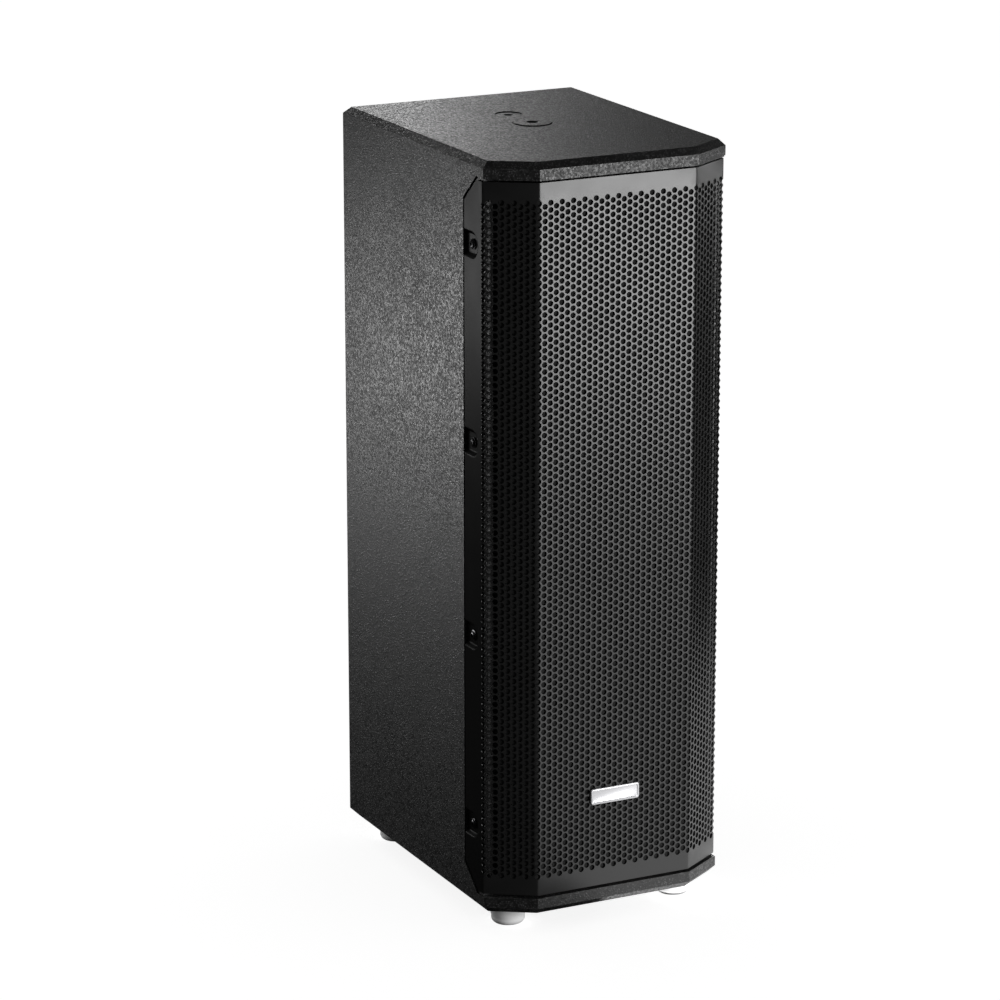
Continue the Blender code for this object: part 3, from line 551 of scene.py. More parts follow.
# %% [markdown]
# ## The finishes
# A material is a Principled BSDF with groups feeding it. Paint and plastic differ mainly in
# the size of their grain and in gloss, so one function makes all of the fine-grained finishes
# from a colour, a roughness and a grain size.

# %% Grained finishes


def use_group(tree, group, values, shader=None):
    """Places a group with its own values. Outputs named as on the shader are joined to it."""
    node = add(tree, "Group")
    node.node_tree = group
    fill(tree, node, values)
    if shader:
        for output, target in (("Colour", "Base Color"), ("Roughness", "Roughness"), ("Normal", "Normal")):
            if output in node.outputs:
                fill(tree, shader, {target: node.outputs[output]})
    return node.outputs


def grained(
    name, colour, roughness, size=0.0005, relief_strength=0.2, variation=0.25, metallic=0.0, swing=0.1
):
    made, tree, shader = new_finish(name, {"Metallic": metallic})
    values = {"Size": size, "Relief": relief_strength, "Base": (*colour, 1), "Variation": variation}
    use_group(tree, fine_grain, {**values, "Roughness": roughness, "Roughness range": swing}, shader)
    return made


grille_coat = grained("grille_powder_coat", (0.010, 0.010, 0.010), 0.32, 0.0007, 0.05, 0.1)
dark_steel = grained("dark_steel", (0.05, 0.05, 0.052), 0.28, 0.0004, 0.1, 0.2, metallic=1.0)
insert_steel = grained("thread_steel", (0.10, 0.10, 0.10), 0.35, 0.0004, 0.1, 0.2, metallic=1.0)
zinc = grained("zinc_plate", (0.52, 0.53, 0.55), 0.38, 0.002, 0.05, 0.3, metallic=1.0, swing=0.3)
cup_coat = grained("cup_coat", (0.014, 0.014, 0.014), 0.38, 0.0005, 0.15, 0.2)
foot_rubber = grained("foot_rubber", (0.90, 0.90, 0.90), 0.6, 0.0006, 0.3, 0.15)
surround_rubber = grained("surround_rubber", (0.014, 0.014, 0.014), 0.55, 0.0005, 0.2)
cast_frame = grained("cast_frame", (0.03, 0.03, 0.031), 0.5, 0.0006, 0.5, 0.3, metallic=0.5)
motor_steel = grained("motor_steel", (0.06, 0.06, 0.065), 0.35, 0.0006, 0.15, 0.3, metallic=0.9)
cone_paper = grained("cone_paper", (0.018, 0.018, 0.018), 0.85, 0.0012, 0.8, 0.5)
spider_cloth = grained("spider_cloth", (0.42, 0.28, 0.10), 0.9, 0.0006, 0.8, 0.4)
black_plastic = grained("black_plastic", (0.016, 0.016, 0.016), 0.42, 0.0004, 0.35)
socket_plastic = grained("socket_plastic", (0.012, 0.012, 0.012), 0.35, 0.0004, 0.15)
knob_plastic = grained("knob_plastic", (0.014, 0.014, 0.014), 0.5, 0.0003, 0.5)
red_plastic = grained("red_plastic", (0.42, 0.015, 0.012), 0.32, 0.0004, 0.15, 0.15)
titanium = grained("titanium_foil", (0.50, 0.50, 0.52), 0.25, 0.001, 0.1, 0.15, metallic=1.0)
copper = grained("copper_winding", (0.58, 0.26, 0.09), 0.35, 0.0006, 0.9, 0.4, metallic=1.0)
circuit_board = grained("circuit_board", (0.015, 0.10, 0.04), 0.35, 0.0015, 0.4, 0.8)
printed_white = grained("printed_white", (0.60, 0.60, 0.60), 0.5, 0.0003, 0.1, 0.1)
black_aluminium = grained("black_aluminium", (0.022, 0.022, 0.023), 0.42, 0.0004, 0.3, 0.3, metallic=0.7)
foam_finish = grained("foam", (0.006, 0.006, 0.006), 0.95, 0.0009, 1.0, 0.8)
led_lens = grained("led_lens", (0.04, 0.55, 0.12), 0.12, 0.0004, 0.05, 0.1, swing=0.04)
led_lens.node_tree.nodes["Principled BSDF"].inputs["Transmission Weight"].default_value = 0.6
print("grained finishes:", len([m for m in bpy.data.materials if m.use_nodes]))

# %% Cabinet paint, with a painted highlight along its edges and a trace of dust
cabinet_paint, tree, shader = new_finish("cabinet_paint")
# Light is the painted highlight colour on the bead domes, and Dark the painted shade in the gaps between
# them.
paint_values = {
    "Bead": 0.0015,
    "Relief": 0.45,
    "Dark": (0.004, 0.004, 0.004, 1),
    "Light": (0.065, 0.065, 0.066, 1),
    "Roughness": 0.42,
}
coat = use_group(tree, textured_paint, paint_values, shader)
# The edges are painted a lighter grey: a painted highlight for the light that rounded paint edges catch.
edge_highlight_mask = use_group(tree, rubbed_edges, {"Width": 0.0012, "Amount": 0.35})
dust = use_group(tree, settled_dust, {"Amount": 0.05})
coat_with_edge_highlight = mix_colours(tree, edge_highlight_mask["Mask"], coat["Colour"], (0.13, 0.13, 0.13, 1))
fill(tree, shader, {"Base Color": mix_colours(tree, dust["Mask"], coat_with_edge_highlight, (0.30, 0.29, 0.28, 1))})
print("finish:", cabinet_paint.name)

# %% Bare plywood, with grain along one direction
bare_plywood, tree, shader = new_finish("bare_plywood")
growth = noise(tree, 0.010, 5.0, stretch=(1, 1, 0.08))
fibres = noise(tree, 0.0012, 3.0, stretch=(1, 1, 0.05))
streaks = plus(tree, times(tree, growth, 0.7), times(tree, fibres, 0.3))
late_wood, early_wood = (0.34, 0.20, 0.09, 1), (0.62, 0.45, 0.26, 1)
wood = {
    "Base Color": mix_colours(tree, spread(tree, streaks, 0.35, 0.65), late_wood, early_wood),
    "Roughness": spread(tree, streaks, 0.3, 0.7, 0.75, 0.6),
    "Normal": relief(tree, streaks, 0.3, 0.0003),
}
fill(tree, shader, wood)
print("finish:", bare_plywood.name)

# %% The badge's bright plate
nickel = {"Metallic": 1.0, "Base Color": (0.43, 0.43, 0.44, 1)}
badge_plate, tree, shader = new_finish("badge_plate", nickel)
use_group(tree, brushed, {"Roughness": 0.42, "Swing": 0.2, "Relief": 0.15}, shader)
print("finish:", badge_plate.name)

# %% [markdown]
# ## The cabinet as one painted shell
# The real box is glued from plywood boards, filled and painted, so no joint shows. The frame
# keeps the boards apart; here they become one closed shell. It starts as an extruded outline
# with a bevel round both ends, and everything hollow is cut out of it with Booleans, the way
# a router would cut it: the inside, the front, the rear recess, and the seats of the fittings.

# %% Measure the boards and the folds of the grille
panel_low, panel_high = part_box("top_panel")
base_low, base_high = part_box("bottom_panel")
side_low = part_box("side_panel_right")[0]
rear_low, rear_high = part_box("rear_panel")
grille_low, grille_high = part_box("grille")

hole_pitch = 0.006
column_step = hole_pitch * math.sqrt(3) / 2
front_columns, side_columns = 14, 23  # from the middle to the front fold and to the side fold
fold_x = front_columns * column_step
slant_length = (side_columns - front_columns) * column_step
slant_angle = math.acos((grille_high.x - fold_x) / slant_length)
fold_y = grille_low.y + slant_length * math.sin(slant_angle)
end_bevel = 0.0057
print("folds at", round(fold_x, 4), "m across and", round(fold_y, 4), "m back")

# %% The outer form, then the hollows
paint_edge = 0.0007
half_width, back = panel_high.x, panel_high.y
clearance = grille_low.y - panel_low.y  # how far the grille's front lies behind the panels'
corner_x = fold_x + clearance * math.tan(slant_angle / 2)
corner_y = panel_low.y + (half_width - corner_x) * math.tan(slant_angle)
right_side = [(corner_x, panel_low.y), (half_width, corner_y), (half_width, back)]
outline = right_side + [(-x, y) for x, y in reversed(right_side)]

form = prism(outline, base_low.z, panel_high.z)
ends = [e for e in form.edges if e.verts[0].co.z == e.verts[1].co.z]
bmesh.ops.bevel(form, geom=ends, offset=end_bevel, segments=1, affect="EDGES")
shell = start("cabinet_shell", form)

inside_x = side_low.x
floor_z, ceiling_z = base_high.z, panel_low.z
hollows = [
    block((-0.2, -0.3, floor_z), (0.2, side_low.y, ceiling_z)),
    block((-inside_x, side_low.y - 0.01, floor_z), (inside_x, rear_low.y, ceiling_z)),
    block((-inside_x, rear_high.y, floor_z), (inside_x, back + 0.01, ceiling_z)),
]
amp_low, amp_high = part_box("amp_box")
slack = 0.002
opening_low = (amp_low.x - slack, rear_low.y - 0.01, amp_low.z - slack)
opening_high = (amp_high.x + slack, rear_high.y + 0.01, amp_high.z + slack)
hollows.append(block(opening_low, opening_high))
carve(shell, hollows)
print("shell with", len(shell.data.polygons), "faces after its hollows")

# %% [markdown]
# ## Seats for the grille and the fittings
# The grille's side flanges lie in shallow rebates, and each pressed scoop needs a pocket
# behind it. The threaded bushes sit in round counterbores in the top, and the pole cup in the
# base. All of these places are measured from the frame, so that every fitting drops into its
# own seat.

# %% Cut the seats
flange_back = grille_high.y
slant_start = -0.1135
slant_rise = 0.0205
rebate_margin = 0.0015
scoop_y, scoop_half, scoop_depth = -0.1035, 0.0115, 0.003
scoop_narrowing = 0.0035 / 0.003
sheet_thickness = 0.0012
screw_places = [middle_of(f"grille_screw_right_{number}") for number in range(1, 5)]


def scoop_outline(half, back_end, steps=16):
    return [(back_end, half), *arc((scoop_y, 0), half, 90, 270, steps), (back_end, -half)]


rebate_back = flange_back + rebate_margin
rebate_slant = slant_start + rebate_margin
rebate = [
    (side_low.y - 0.01, floor_z - 0.001),
    (rebate_slant, floor_z - 0.001),
    (rebate_back, floor_z + slant_rise),
    (rebate_back, ceiling_z - slant_rise),
    (rebate_slant, ceiling_z + 0.001),
    (side_low.y - 0.01, ceiling_z + 0.001),
]
rebate_floor = grille_high.x - sheet_thickness - 0.0003
pocket_floor = rebate_floor - scoop_depth - 0.0003
pocket_outline = scoop_outline(scoop_half + 0.002, rebate_back - 0.0002)
for side in (1, -1):
    mirror = Matrix.Diagonal((side, 1, 1, 1))
    seats = [turned_by(prism(rebate, rebate_floor, half_width + 0.01), mirror @ FACING_RIGHT)]
    pockets = []
    for place in screw_places:
        pocket = prism(pocket_outline, pocket_floor, half_width + 0.005)
        pockets.append(turned_by(pocket, mirror @ Matrix.Translation((0, 0, place.z)) @ FACING_RIGHT))
    carve(shell, seats + [gathered(pockets)])

cup_low, cup_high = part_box("pole_cup")
cup_point = middle_of("pole_cup")
top_z = panel_high.z
seat_play, cup_seat = 0.0006, 0.0205
bushes = {  # each bush's barrel, its hole and the pitch of its thread
    "fly_insert": (0.009, 0.0047, 0.0015),
    "safety_insert": (0.0065, 0.0034, 0.00125),
}
seats = []
for node, (barrel, hole, pitch) in bushes.items():
    low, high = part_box(node)
    point = middle_of(node)
    flange = (high.x - low.x) / 2
    seats.append(rod(barrel + seat_play, ceiling_z - 0.01, top_z + 0.01, (point.x, point.y), 48))
    seats.append(rod(flange + seat_play, top_z - 0.0021, top_z + 0.01, (point.x, point.y), 64))
seats.append(rod(cup_seat, base_low.z - 0.01, floor_z + 0.01, (cup_point.x, cup_point.y), 64))
carve(shell, seats)
soften(shell, paint_edge, 2, 30)
boards = ["top_panel", "bottom_panel", "side_panel_left", "side_panel_right", "rear_panel"]
settle(shell, cabinet_paint, boards)
print("finished shell:", len(shell.data.polygons), "faces")

# %% [markdown]
# ## The grille: punched flat, then folded
# A perforated grille is punched as a flat sheet and folded afterwards, and it is easiest to
# model in that order. Every hole gets a six-sided cell of its own, because on a staggered
# pattern the cells tile the sheet with no gaps. What is left round them, the plain bands and
# the side flanges, is filled in by a Delaunay triangulation that meets the cells edge to edge.

# %% Lay out the holes on the flat sheet
hole_radius = 0.0025
rows_in_even_columns = 98
grille_middle = (grille_low.z + grille_high.z) / 2


def hole_centres(column):
    rows = rows_in_even_columns - column % 2
    first = grille_middle - (rows - 1) / 2 * hole_pitch
    return [(column * column_step, first + row * hole_pitch) for row in range(rows)]


centres = [centre for column in range(side_columns + 1) for centre in hole_centres(column)]
print("holes in half the sheet:", len(centres))

# %% Build the cells round the holes
CELL_CORNERS = [(math.cos(math.radians(30 * i)), math.sin(math.radians(30 * i))) for i in range(12)]
ON_MIDDLE = 1e-6  # the sheet is cut at its middle line, through the holes of the first column


class FlatSheet:
    """Points of a flat sheet, in metres along it and up it, shared by the faces between them."""

    def __init__(self):
        self.numbers = {}
        self.points = []
        self.faces = []

    def point(self, s, z):
        key = (round(s * 1e6), round(z * 1e6))
        if key not in self.numbers:
            self.numbers[key] = len(self.points)
            self.points.append((s, z))
        return self.numbers[key]


def cell_reach(i):
    """From a hole's centre to a corner of its cell, or to the middle of a side."""
    return hole_pitch / math.sqrt(3) if i % 2 == 0 else hole_pitch / 2


sheet = FlatSheet()
hole_rims = set()
for s, z in centres:
    rim, border = [], []
    for i, (c, d) in enumerate(CELL_CORNERS):
        past_middle = s == 0 and c < -ON_MIDDLE
        rim.append(None if past_middle else sheet.point(s + hole_radius * c, z + hole_radius * d))
        border.append(None if past_middle else sheet.point(s + cell_reach(i) * c, z + cell_reach(i) * d))
    hole_rims.update(rim)
    for i in range(12):
        j = (i + 1) % 12
        quad = (rim[i], border[i], border[j], rim[j])
        if None not in quad:
            sheet.faces.append(quad)
print("cells give", len(sheet.faces), "faces")

# %% Outline the plain bands and the flange
side_fold = side_columns * column_step
front_fold = front_columns * column_step
to_side = side_fold - fold_y  # add to a y on the flange for its place on the flat sheet
flange_end = flange_back + to_side
slant_at = slant_start + to_side
fold_half = 0.0009
fold_line_gap = 0.0008  # the side lines of a fold stop this far before the cells
low, high = grille_low.z, grille_high.z

plain = FlatSheet()
plain_edges = []


def flat_line(points, closed=False):
    numbers = [plain.point(*p) for p in points]
    plain_edges.extend(zip(numbers, numbers[1:]))
    if closed:
        plain_edges.append((numbers[-1], numbers[0]))


edge_use = {}
for face in sheet.faces:
    for a, b in zip(face, face[1:] + face[:1]):
        edge_use[frozenset((a, b))] = edge_use.get(frozenset((a, b)), 0) + 1
for ends, used in edge_use.items():
    a, b = (sheet.points[i] for i in ends)
    if used == 1 and not ends <= hole_rims and max(a[0], b[0]) > ON_MIDDLE:
        flat_line([a, b])

band_places = [0.0, front_fold - fold_half, front_fold, front_fold + fold_half]
band_places += [side_fold - fold_half, side_fold, side_fold + fold_half, slant_at]
scoop_ends = []
for place in screw_places:
    for half in (scoop_half, scoop_half - scoop_depth * scoop_narrowing):
        scoop_ends += [(flange_end, place.z - half), (flange_end, place.z + half)]
outer = [(s, low) for s in band_places] + [(flange_end, low + slant_rise)]
outer += sorted(scoop_ends, key=lambda p: p[1]) + [(flange_end, high - slant_rise)]
outer += [(s, high) for s in reversed(band_places)]
flat_line(outer)
for column, fold in ((front_columns, front_fold), (side_columns, side_fold)):
    first, last = hole_centres(column)[0][1], hole_centres(column)[-1][1]
    for start_z, end_z in ((low, first - hole_pitch / 2), (high, last + hole_pitch / 2)):
        flat_line([(fold, start_z), (fold, end_z)])
        short = end_z + math.copysign(fold_line_gap, start_z - end_z)
        for offset in (-fold_half, fold_half):
            flat_line([(fold + offset, start_z), (fold + offset, short)])
print("plain parts start from", len(plain.points), "points")

# %% Press the scoops: rings of points that follow each scoop's outline
scoop_floor_half = scoop_half - scoop_depth * scoop_narrowing
ring_sizes = [scoop_floor_half + extra for extra in (-0.0006, 0, 0.0006, 0.0016)]
ring_sizes += [scoop_half + extra for extra in (-0.0010, -0.0004, 0.0003, 0.0010)]
screw_hole_radius = 0.0024


def scoop_pressed_in(s, z):
    """How deep the sheet is pressed at a place on it."""
    y = s - to_side
    if y < scoop_y - scoop_half - 0.002:
        return 0.0
    nearest = min(abs(z - place.z) for place in screw_places)
    away = math.hypot(min(y - scoop_y, 0.0), nearest)
    slope = 1 - (away - scoop_floor_half) / (scoop_half - scoop_floor_half)
    slope = min(max(slope, 0.0), 1.0)
    return scoop_depth * (slope * slope * (3 - 2 * slope))


def in_hole_cell(s, z):
    """Whether the nearest place on the pitch of the holes really has one."""
    column = round(s / column_step)
    choices = []
    for k in (column - 1, column, column + 1):
        shift = (rows_in_even_columns - k % 2 - 1) / 2
        row = round((z - grille_middle) / hole_pitch + shift)
        dz = z - grille_middle - (row - shift) * hole_pitch
        real = 0 <= k <= side_columns and 0 <= row < rows_in_even_columns - k % 2
        choices.append((math.hypot(s - k * column_step, dz), real))
    return min(choices)[1]


def in_screw_hole(s, z):
    reach = screw_hole_radius * 0.98
    return any(math.hypot(s - to_side - place.y, z - place.z) < reach for place in screw_places)


for place in screw_places:
    for size in ring_sizes:
        flat_line([(y + to_side, place.z + z) for y, z in scoop_outline(size, flange_back)])
    hole = arc((place.y + to_side, place.z), screw_hole_radius, 0, 360 - 18, 19)
    flat_line(hole, closed=True)

# The triangulation works in millimetres, where its small tolerance is safe.
flat_points = [Vector((s * 1000, z * 1000)) for s, z in plain.points]
solved = geometry.delaunay_2d_cdt(flat_points, plain_edges, [], 0, 1e-5)
cell_faces = len(sheet.faces)
for triangle in solved[2]:
    corners = [solved[0][i] / 1000 for i in triangle]
    s, z = (sum(c[k] for c in corners) / 3 for k in (0, 1))
    if not in_screw_hole(s, z) and not in_hole_cell(s, z):
        sheet.faces.append(tuple(sheet.point(*c) for c in corners))
print("plain parts have", len(sheet.faces) - cell_faces, "triangles")

# %% Fold the sheet and give it its thickness


def folded(s):
    """A place on the flat sheet, folded to its plan position. Folds are small rounded bends."""

    def straight(t):
        if t <= front_fold:
            return Vector((t, grille_low.y))
        if t <= side_fold:
            along = t - front_fold
            across, back = along * math.cos(slant_angle), along * math.sin(slant_angle)
            return Vector((front_fold + across, grille_low.y + back))
        return Vector((grille_high.x, fold_y + t - side_fold))

    for fold in (front_fold, side_fold):
        if abs(s - fold) < fold_half:
            u = (s - fold + fold_half) / (2 * fold_half)
            a, b, c = straight(fold - fold_half), straight(fold), straight(fold + fold_half)
            return a * (1 - u) ** 2 + b * 2 * u * (1 - u) + c * u**2
    return straight(s)


def grille_half(name, side):
    half = bmesh.new()
    verts = []
    for s, z in sheet.points:
        plan = folded(s)
        verts.append(half.verts.new((side * (plan.x - scoop_pressed_in(s, z)), plan.y, z)))
    for face in sheet.faces:
        half.faces.new([verts[i] for i in face])
    mesh = bpy.data.meshes.new(name)
    bmesh.ops.recalc_face_normals(half, faces=half.faces)
    front = min(half.faces, key=lambda f: f.calc_center_median().y)
    if front.normal.y > 0:
        bmesh.ops.reverse_faces(half, faces=half.faces)
    half.to_mesh(mesh)
    half.free()
    made = thicken(new_object(name, mesh), sheet_thickness)
    return settle(made, grille_coat, ["grille"])


grille_right = grille_half("grille_right_half", 1)
grille_left = grille_half("grille_left_half", -1)
keep_dark(left_panel, grille_right, grille_left)
print("grille:", len(grille_right.data.polygons) + len(grille_left.data.polygons), "faces")

# %% [markdown]
# ## Foam behind the grille
# A thin sheet of black open foam lines the grille, so that the drivers don't show through the
# holes. It is a grid of points folded along the same path as the steel, a little further in,
# and pushed in and out by a fine random amount, because cut foam is never quite flat.

# %% Lay the foam
dice = random.Random(7)
foam_low, foam_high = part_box("grille_foam")
foam_gap, foam_thickness = 0.0018, 0.003
foam_reach = side_fold - 2.6 * column_step
columns, rows = 72, 200
lining = bmesh.new()
grid = []
for row in range(rows + 1):
    z = foam_low.z + (foam_high.z - foam_low.z) * row / rows
    line = []
    for column in range(-columns, columns + 1):
        s = abs(column) / columns * foam_reach
        here, ahead = folded(s), folded(s + 1e-4)
        along = (ahead - here).normalized()
        inward = foam_gap + dice.uniform(-0.0002, 0.0002)
        x, y = here.x - inward * along.y, here.y + inward * along.x
        line.append(lining.verts.new((math.copysign(x, column) if column else 0, y, z)))
    grid.append(line)
for line, above in zip(grid, grid[1:]):
    for a, b, c, d in zip(line, line[1:], above[1:], above):
        lining.faces.new((a, b, c, d))
foam = start("grille_foam_sheet", lining)
middle_face = foam.data.polygons[len(foam.data.polygons) // 2]
thicken(foam, foam_thickness, -1 if middle_face.normal.y < 0 else 1)
settle(foam, foam_finish, ["grille_foam"])
print("foam:", len(foam.data.polygons), "faces")

# %% [markdown]
# ## The badge
# A small bright plate near the foot of the grille. It is left bare, with its edges rolled over
# by a wide bevel and a shallow panel sunk into its face, because a plain flat chip would catch
# the light all at once and look like paper.

# %% Make the badge
badge_low, badge_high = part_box("badge")
badge_middle = middle_of("badge")
badge_size = badge_high - badge_low


def stacked(width, height, radius, levels, steps=5, draft=0.0, least=0.0):
    """Rounded rectangles on each other, one for each level, given as (inset, height)."""
    rings = []
    for inset, z in levels:
        corner = max(radius - draft * inset, least)
        outline = round_corners(width - 2 * inset, height - 2 * inset, corner, steps)
        rings.append([(x, y, z) for x, y in outline])
    return skin(rings)


shares = [(0.0, 0.0), (0.0, 0.55), (0.0004, 0.85), (0.0009, 1.0), (0.0019, 1.0), (0.0022, 0.86)]
levels = [(inset, share * badge_size.y) for inset, share in shares]
badge_shape = stacked(badge_size.x, badge_size.z, 0.0024, levels, 8, 0.6)
badge = start("badge_plate", badge_shape, (badge_middle.x, badge_high.y, badge_middle.z), FACING_FRONT)
settle(badge, badge_plate, ["badge"])
print("badge", [round(v * 1000, 1) for v in badge_size], "mm")

# %% [markdown]
# ## Screws of the grille
# Each is a pan-head machine screw with a hexagon socket and a shallow thread. A turned profile
# gives the head, and the socket is a six-sided prism cut into it. One screw is modelled, and
# the seven others share its mesh, as they would come out of the same box.

# %% Turn one screw and use it eight times
sample_low, sample_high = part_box("grille_screw_right_1")
head_radius = (sample_high.z - sample_low.z) / 2
seat_x = grille_high.x - scoop_depth + 0.0003


def screw_profile(head, height, shank, length, pitch=0.0007):
    """Dome, flange and threaded shank of a pan-head screw, seated at height 0."""
    dome = [(0, height)]
    for angle in (0.35, 0.7, 1.05, 1.4):
        dome.append((head * 0.78 * math.sin(angle), height * (0.55 + 0.45 * math.cos(angle))))
    dome += [(head * 0.80, height * 0.42), (head, height * 0.30), (head, 0.00015), (head * 0.97, 0)]
    dome += [(shank, 0), (shank, -pitch)]
    thread = []
    for turn_number in range(int(length / pitch) - 2):
        z = -pitch * (turn_number + 1)
        thread += [(shank, z - 0.1 * pitch), (shank * 0.84, z - 0.5 * pitch), (shank, z - 0.9 * pitch)]
    return dome + thread + [(shank * 0.6, -length), (0, -length)]


def socket_screw(name, head, height, shank, length, seat, hexagon):
    """A pan-head screw with a six-sided socket, standing at a seat."""
    screw = start(name, turned(screw_profile(head, height, shank, length), 40), turn=seat)
    points = on_circle(hexagon, [math.pi / 3 * i for i in range(6)])
    return carve(screw, [prism(points, height * 0.35, height + 0.01)])


master = None
for side_name, side in (("left", -1), ("right", 1)):
    outward = Matrix.Rotation(side * math.pi / 2, 4, "Y")
    for number in range(1, 5):
        node = f"grille_screw_{side_name}_{number}"
        name = f"flange_screw_{side_name}_{number}"
        seat = Matrix.Translation((side * seat_x, screw_places[0].y, middle_of(node).z)) @ outward
        if master is None:
            master = screw = socket_screw(name, head_radius, 0.0024, 0.0019, 0.0095, seat, 0.0017)
        else:
            screw = new_object(name, master.data)
            seat = seat @ Matrix.Rotation(dice.uniform(0, math.pi / 3), 4, "Z")
        settle(screw, dark_steel, [node], seat=seat)
print("screws made, heads", round(head_radius * 2000, 1), "mm wide")

# %% [markdown]
# ## Feet
# Moulded rubber feet, each held by a screw in a recess underneath. The profile is turned, with
# a draft on its side and round edges, and grooves on the sole give it grip. A steel washer and
# the screw's head show when the cabinet is tipped over.

# %% Mould the feet


def foot_profile(radius, height):
    hole, recess, recess_top = 0.0025, 0.0060, 0.011
    outer = [(hole, height), (radius - 0.0006, height), (radius, height - 0.0006), (radius, height * 0.62)]
    sole = radius * 0.86
    outer += arc((sole - 0.004, 0.004), 0.0046, 20, -60, 7)
    outer += [(sole - 0.0045, 0.0)]
    grooves = []
    for r in (0.0100, 0.0082):
        grooves += [(r + 0.0005, 0), (r + 0.0003, 0.0006), (r - 0.0003, 0.0006), (r - 0.0005, 0)]
    inner = [(recess + 0.0008, 0), (recess + 0.0002, 0.0006), (recess, recess_top), (hole, recess_top)]
    return outer + grooves + inner


washer_ring = [(0.0022, 0.0002), (0.0022, 0.0009), (0.0053, 0.0009), (0.0055, 0.0007), (0.0055, 0.0002)]
washer_height, head_seat = 0.0096, 0.0105
for node in [f"foot_{end}_{side}" for end in ("front", "rear") for side in ("left", "right")]:
    foot_low, foot_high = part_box(node)
    radius = (foot_high.x - foot_low.x) / 2
    x, y = middle_of(node)[:2]
    foot = start(f"rubber_{node}", turned(foot_profile(radius, foot_high.z), 64), (x, y, 0))
    settle(foot, foot_rubber, [node])
    upside_down = Matrix.Translation((x, y, head_seat)) @ Matrix.Rotation(math.pi, 4, "X")
    screw = socket_screw(f"{node}_screw", 0.0040, 0.0022, 0.0018, 0.0085, upside_down, 0.0015)
    settle(screw, dark_steel)
    washer = start(f"{node}_washer", turned(washer_ring, 40), (x, y, washer_height))
    settle(washer, zinc)
print("feet stand", round(foot_high.z, 4), "m high")

# %% [markdown]
# ## Fittings in the top and the base
# The two bushes in the top take an eyebolt and a safety bolt. Their flanges were painted with
# the cabinet, so only the dark ring round each and the bare thread show. In the base a deep
# steel cup takes a loudspeaker stand, held by four screws through its flange.

# %% Turn the threaded bushes


def bush_profile(flange, barrel, hole, length, pitch):
    """A blind bush with a flange at the top, and thread rings down its hole."""
    rim = 0.0013
    outside = [(0, -length), (barrel - 0.0005, -length), (barrel, 0.0005 - length)]
    outside += [(barrel, -rim), (flange, -rim), (flange, -0.0004), (flange - 0.0004, 0)]
    inside = [(hole + 0.0009, 0), (hole, -0.0009)]
    thread, depth = [], 0.0009 + pitch
    while depth < length - 0.004:
        thread += [(hole, 0.1 * pitch - depth), (hole + 0.55 * pitch, 0.5 * pitch - depth)]
        depth += pitch
    return outside + inside + thread + [(hole * 0.9, 0.003 - length), (0, 0.002 - length)]


for node, (barrel, hole, pitch) in bushes.items():
    low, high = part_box(node)
    point = middle_of(node)
    profile = bush_profile((high.x - low.x) / 2, barrel, hole, high.z - low.z, pitch)
    bush = start(f"{node}_bush", turned(profile, 72), (point.x, point.y, high.z))
    bush.data.materials.append(cabinet_paint)
    bush.data.materials.append(insert_steel)
    for face in bush.data.polygons:
        centre = face.center
        if math.hypot(centre.x, centre.y) < hole + 0.0008 or centre.z < -0.002:
            face.material_index = 1
    settle(bush, None, [node])
    print(node, "at", [round(v, 4) for v in point[:2]])

# %% Spin the pole cup and screw it on


def crossed_screw(name, profile, steps, cross, seat):
    """A small screw whose cross recess is given by its arm, half its width, and two heights."""
    screw = start(name, turned(profile, steps))
    arm, half, bottom, top = cross
    bars = [block((-x, -y, bottom), (x, y, top)) for x, y in ((arm, half), (half, arm))]
    settle(carve(screw, bars), dark_steel, seat=seat)


cup_flange = (cup_high.x - cup_low.x) / 2
cup_bore, cup_wall = 0.018, 0.0015
cup_depth = cup_high.z - base_low.z
cup_rim = base_low.z - cup_low.z
cup_outer, cup_inside = cup_bore + cup_wall, cup_depth - cup_wall
profile = [(0, cup_depth), (cup_outer - 0.002, cup_depth), (cup_outer, cup_depth - 0.002)]
profile += [(cup_outer, -0.0003), (cup_flange, -0.0003), (cup_flange, -0.0014)]
profile += [(cup_flange - 0.001, -cup_rim), (cup_bore + 0.0015, -cup_rim)]
profile += [(cup_bore + 0.0004, 0.0005 - cup_rim), (cup_bore, 0.0016 - cup_rim)]
for depth in (0.02, 0.045):
    profile += [(cup_bore, depth - 0.002), (cup_bore - 0.0004, depth), (cup_bore, depth + 0.002)]
profile += [(cup_bore, cup_inside - 0.002), (cup_bore - 0.002, cup_inside), (0, cup_inside)]
cup = start("stand_cup", turned(profile, 96), (cup_point.x, cup_point.y, base_low.z))
bolt_circle = 0.0250
bolts = on_circle(bolt_circle, [math.pi / 4 + math.pi / 2 * i for i in range(4)])
bolt_seat = [(0, 0.01), (0.0019, 0.01), (0.0019, -0.0010), (0.0032, -0.0040), (0, -0.0040)]
carve(cup, [moved(turned(bolt_seat, 24), (x, y, 0)) for x, y in bolts])
settle(cup, cup_coat, ["pole_cup"])
bolt = [(0, 0.012), (0.0015, 0.010), (0.0017, -0.0004), (0.0028, -0.0014), (0.0022, -0.0018), (0, -0.0019)]
for number, (x, y) in enumerate(bolts, 1):
    seat = Matrix.Translation((cup_point.x + x, cup_point.y + y, base_low.z))
    crossed_screw(f"cup_screw_{number}", bolt, 32, (0.0016, 0.00028, -0.003, -0.0009), seat)
print("pole cup", round(cup_bore * 2000), "mm bore,", round(cup_depth * 1000), "mm deep")

# %% [markdown]
# ## The amplifier's rear plate
# An anodised aluminium plate carries the controls, the sockets and the heat sink. Its openings
# are cut to fit each part in the frame. Countersunk screws hold its rim, and the only printing
# on it is a dial scale with plain numbers and a few thin rules between the groups.

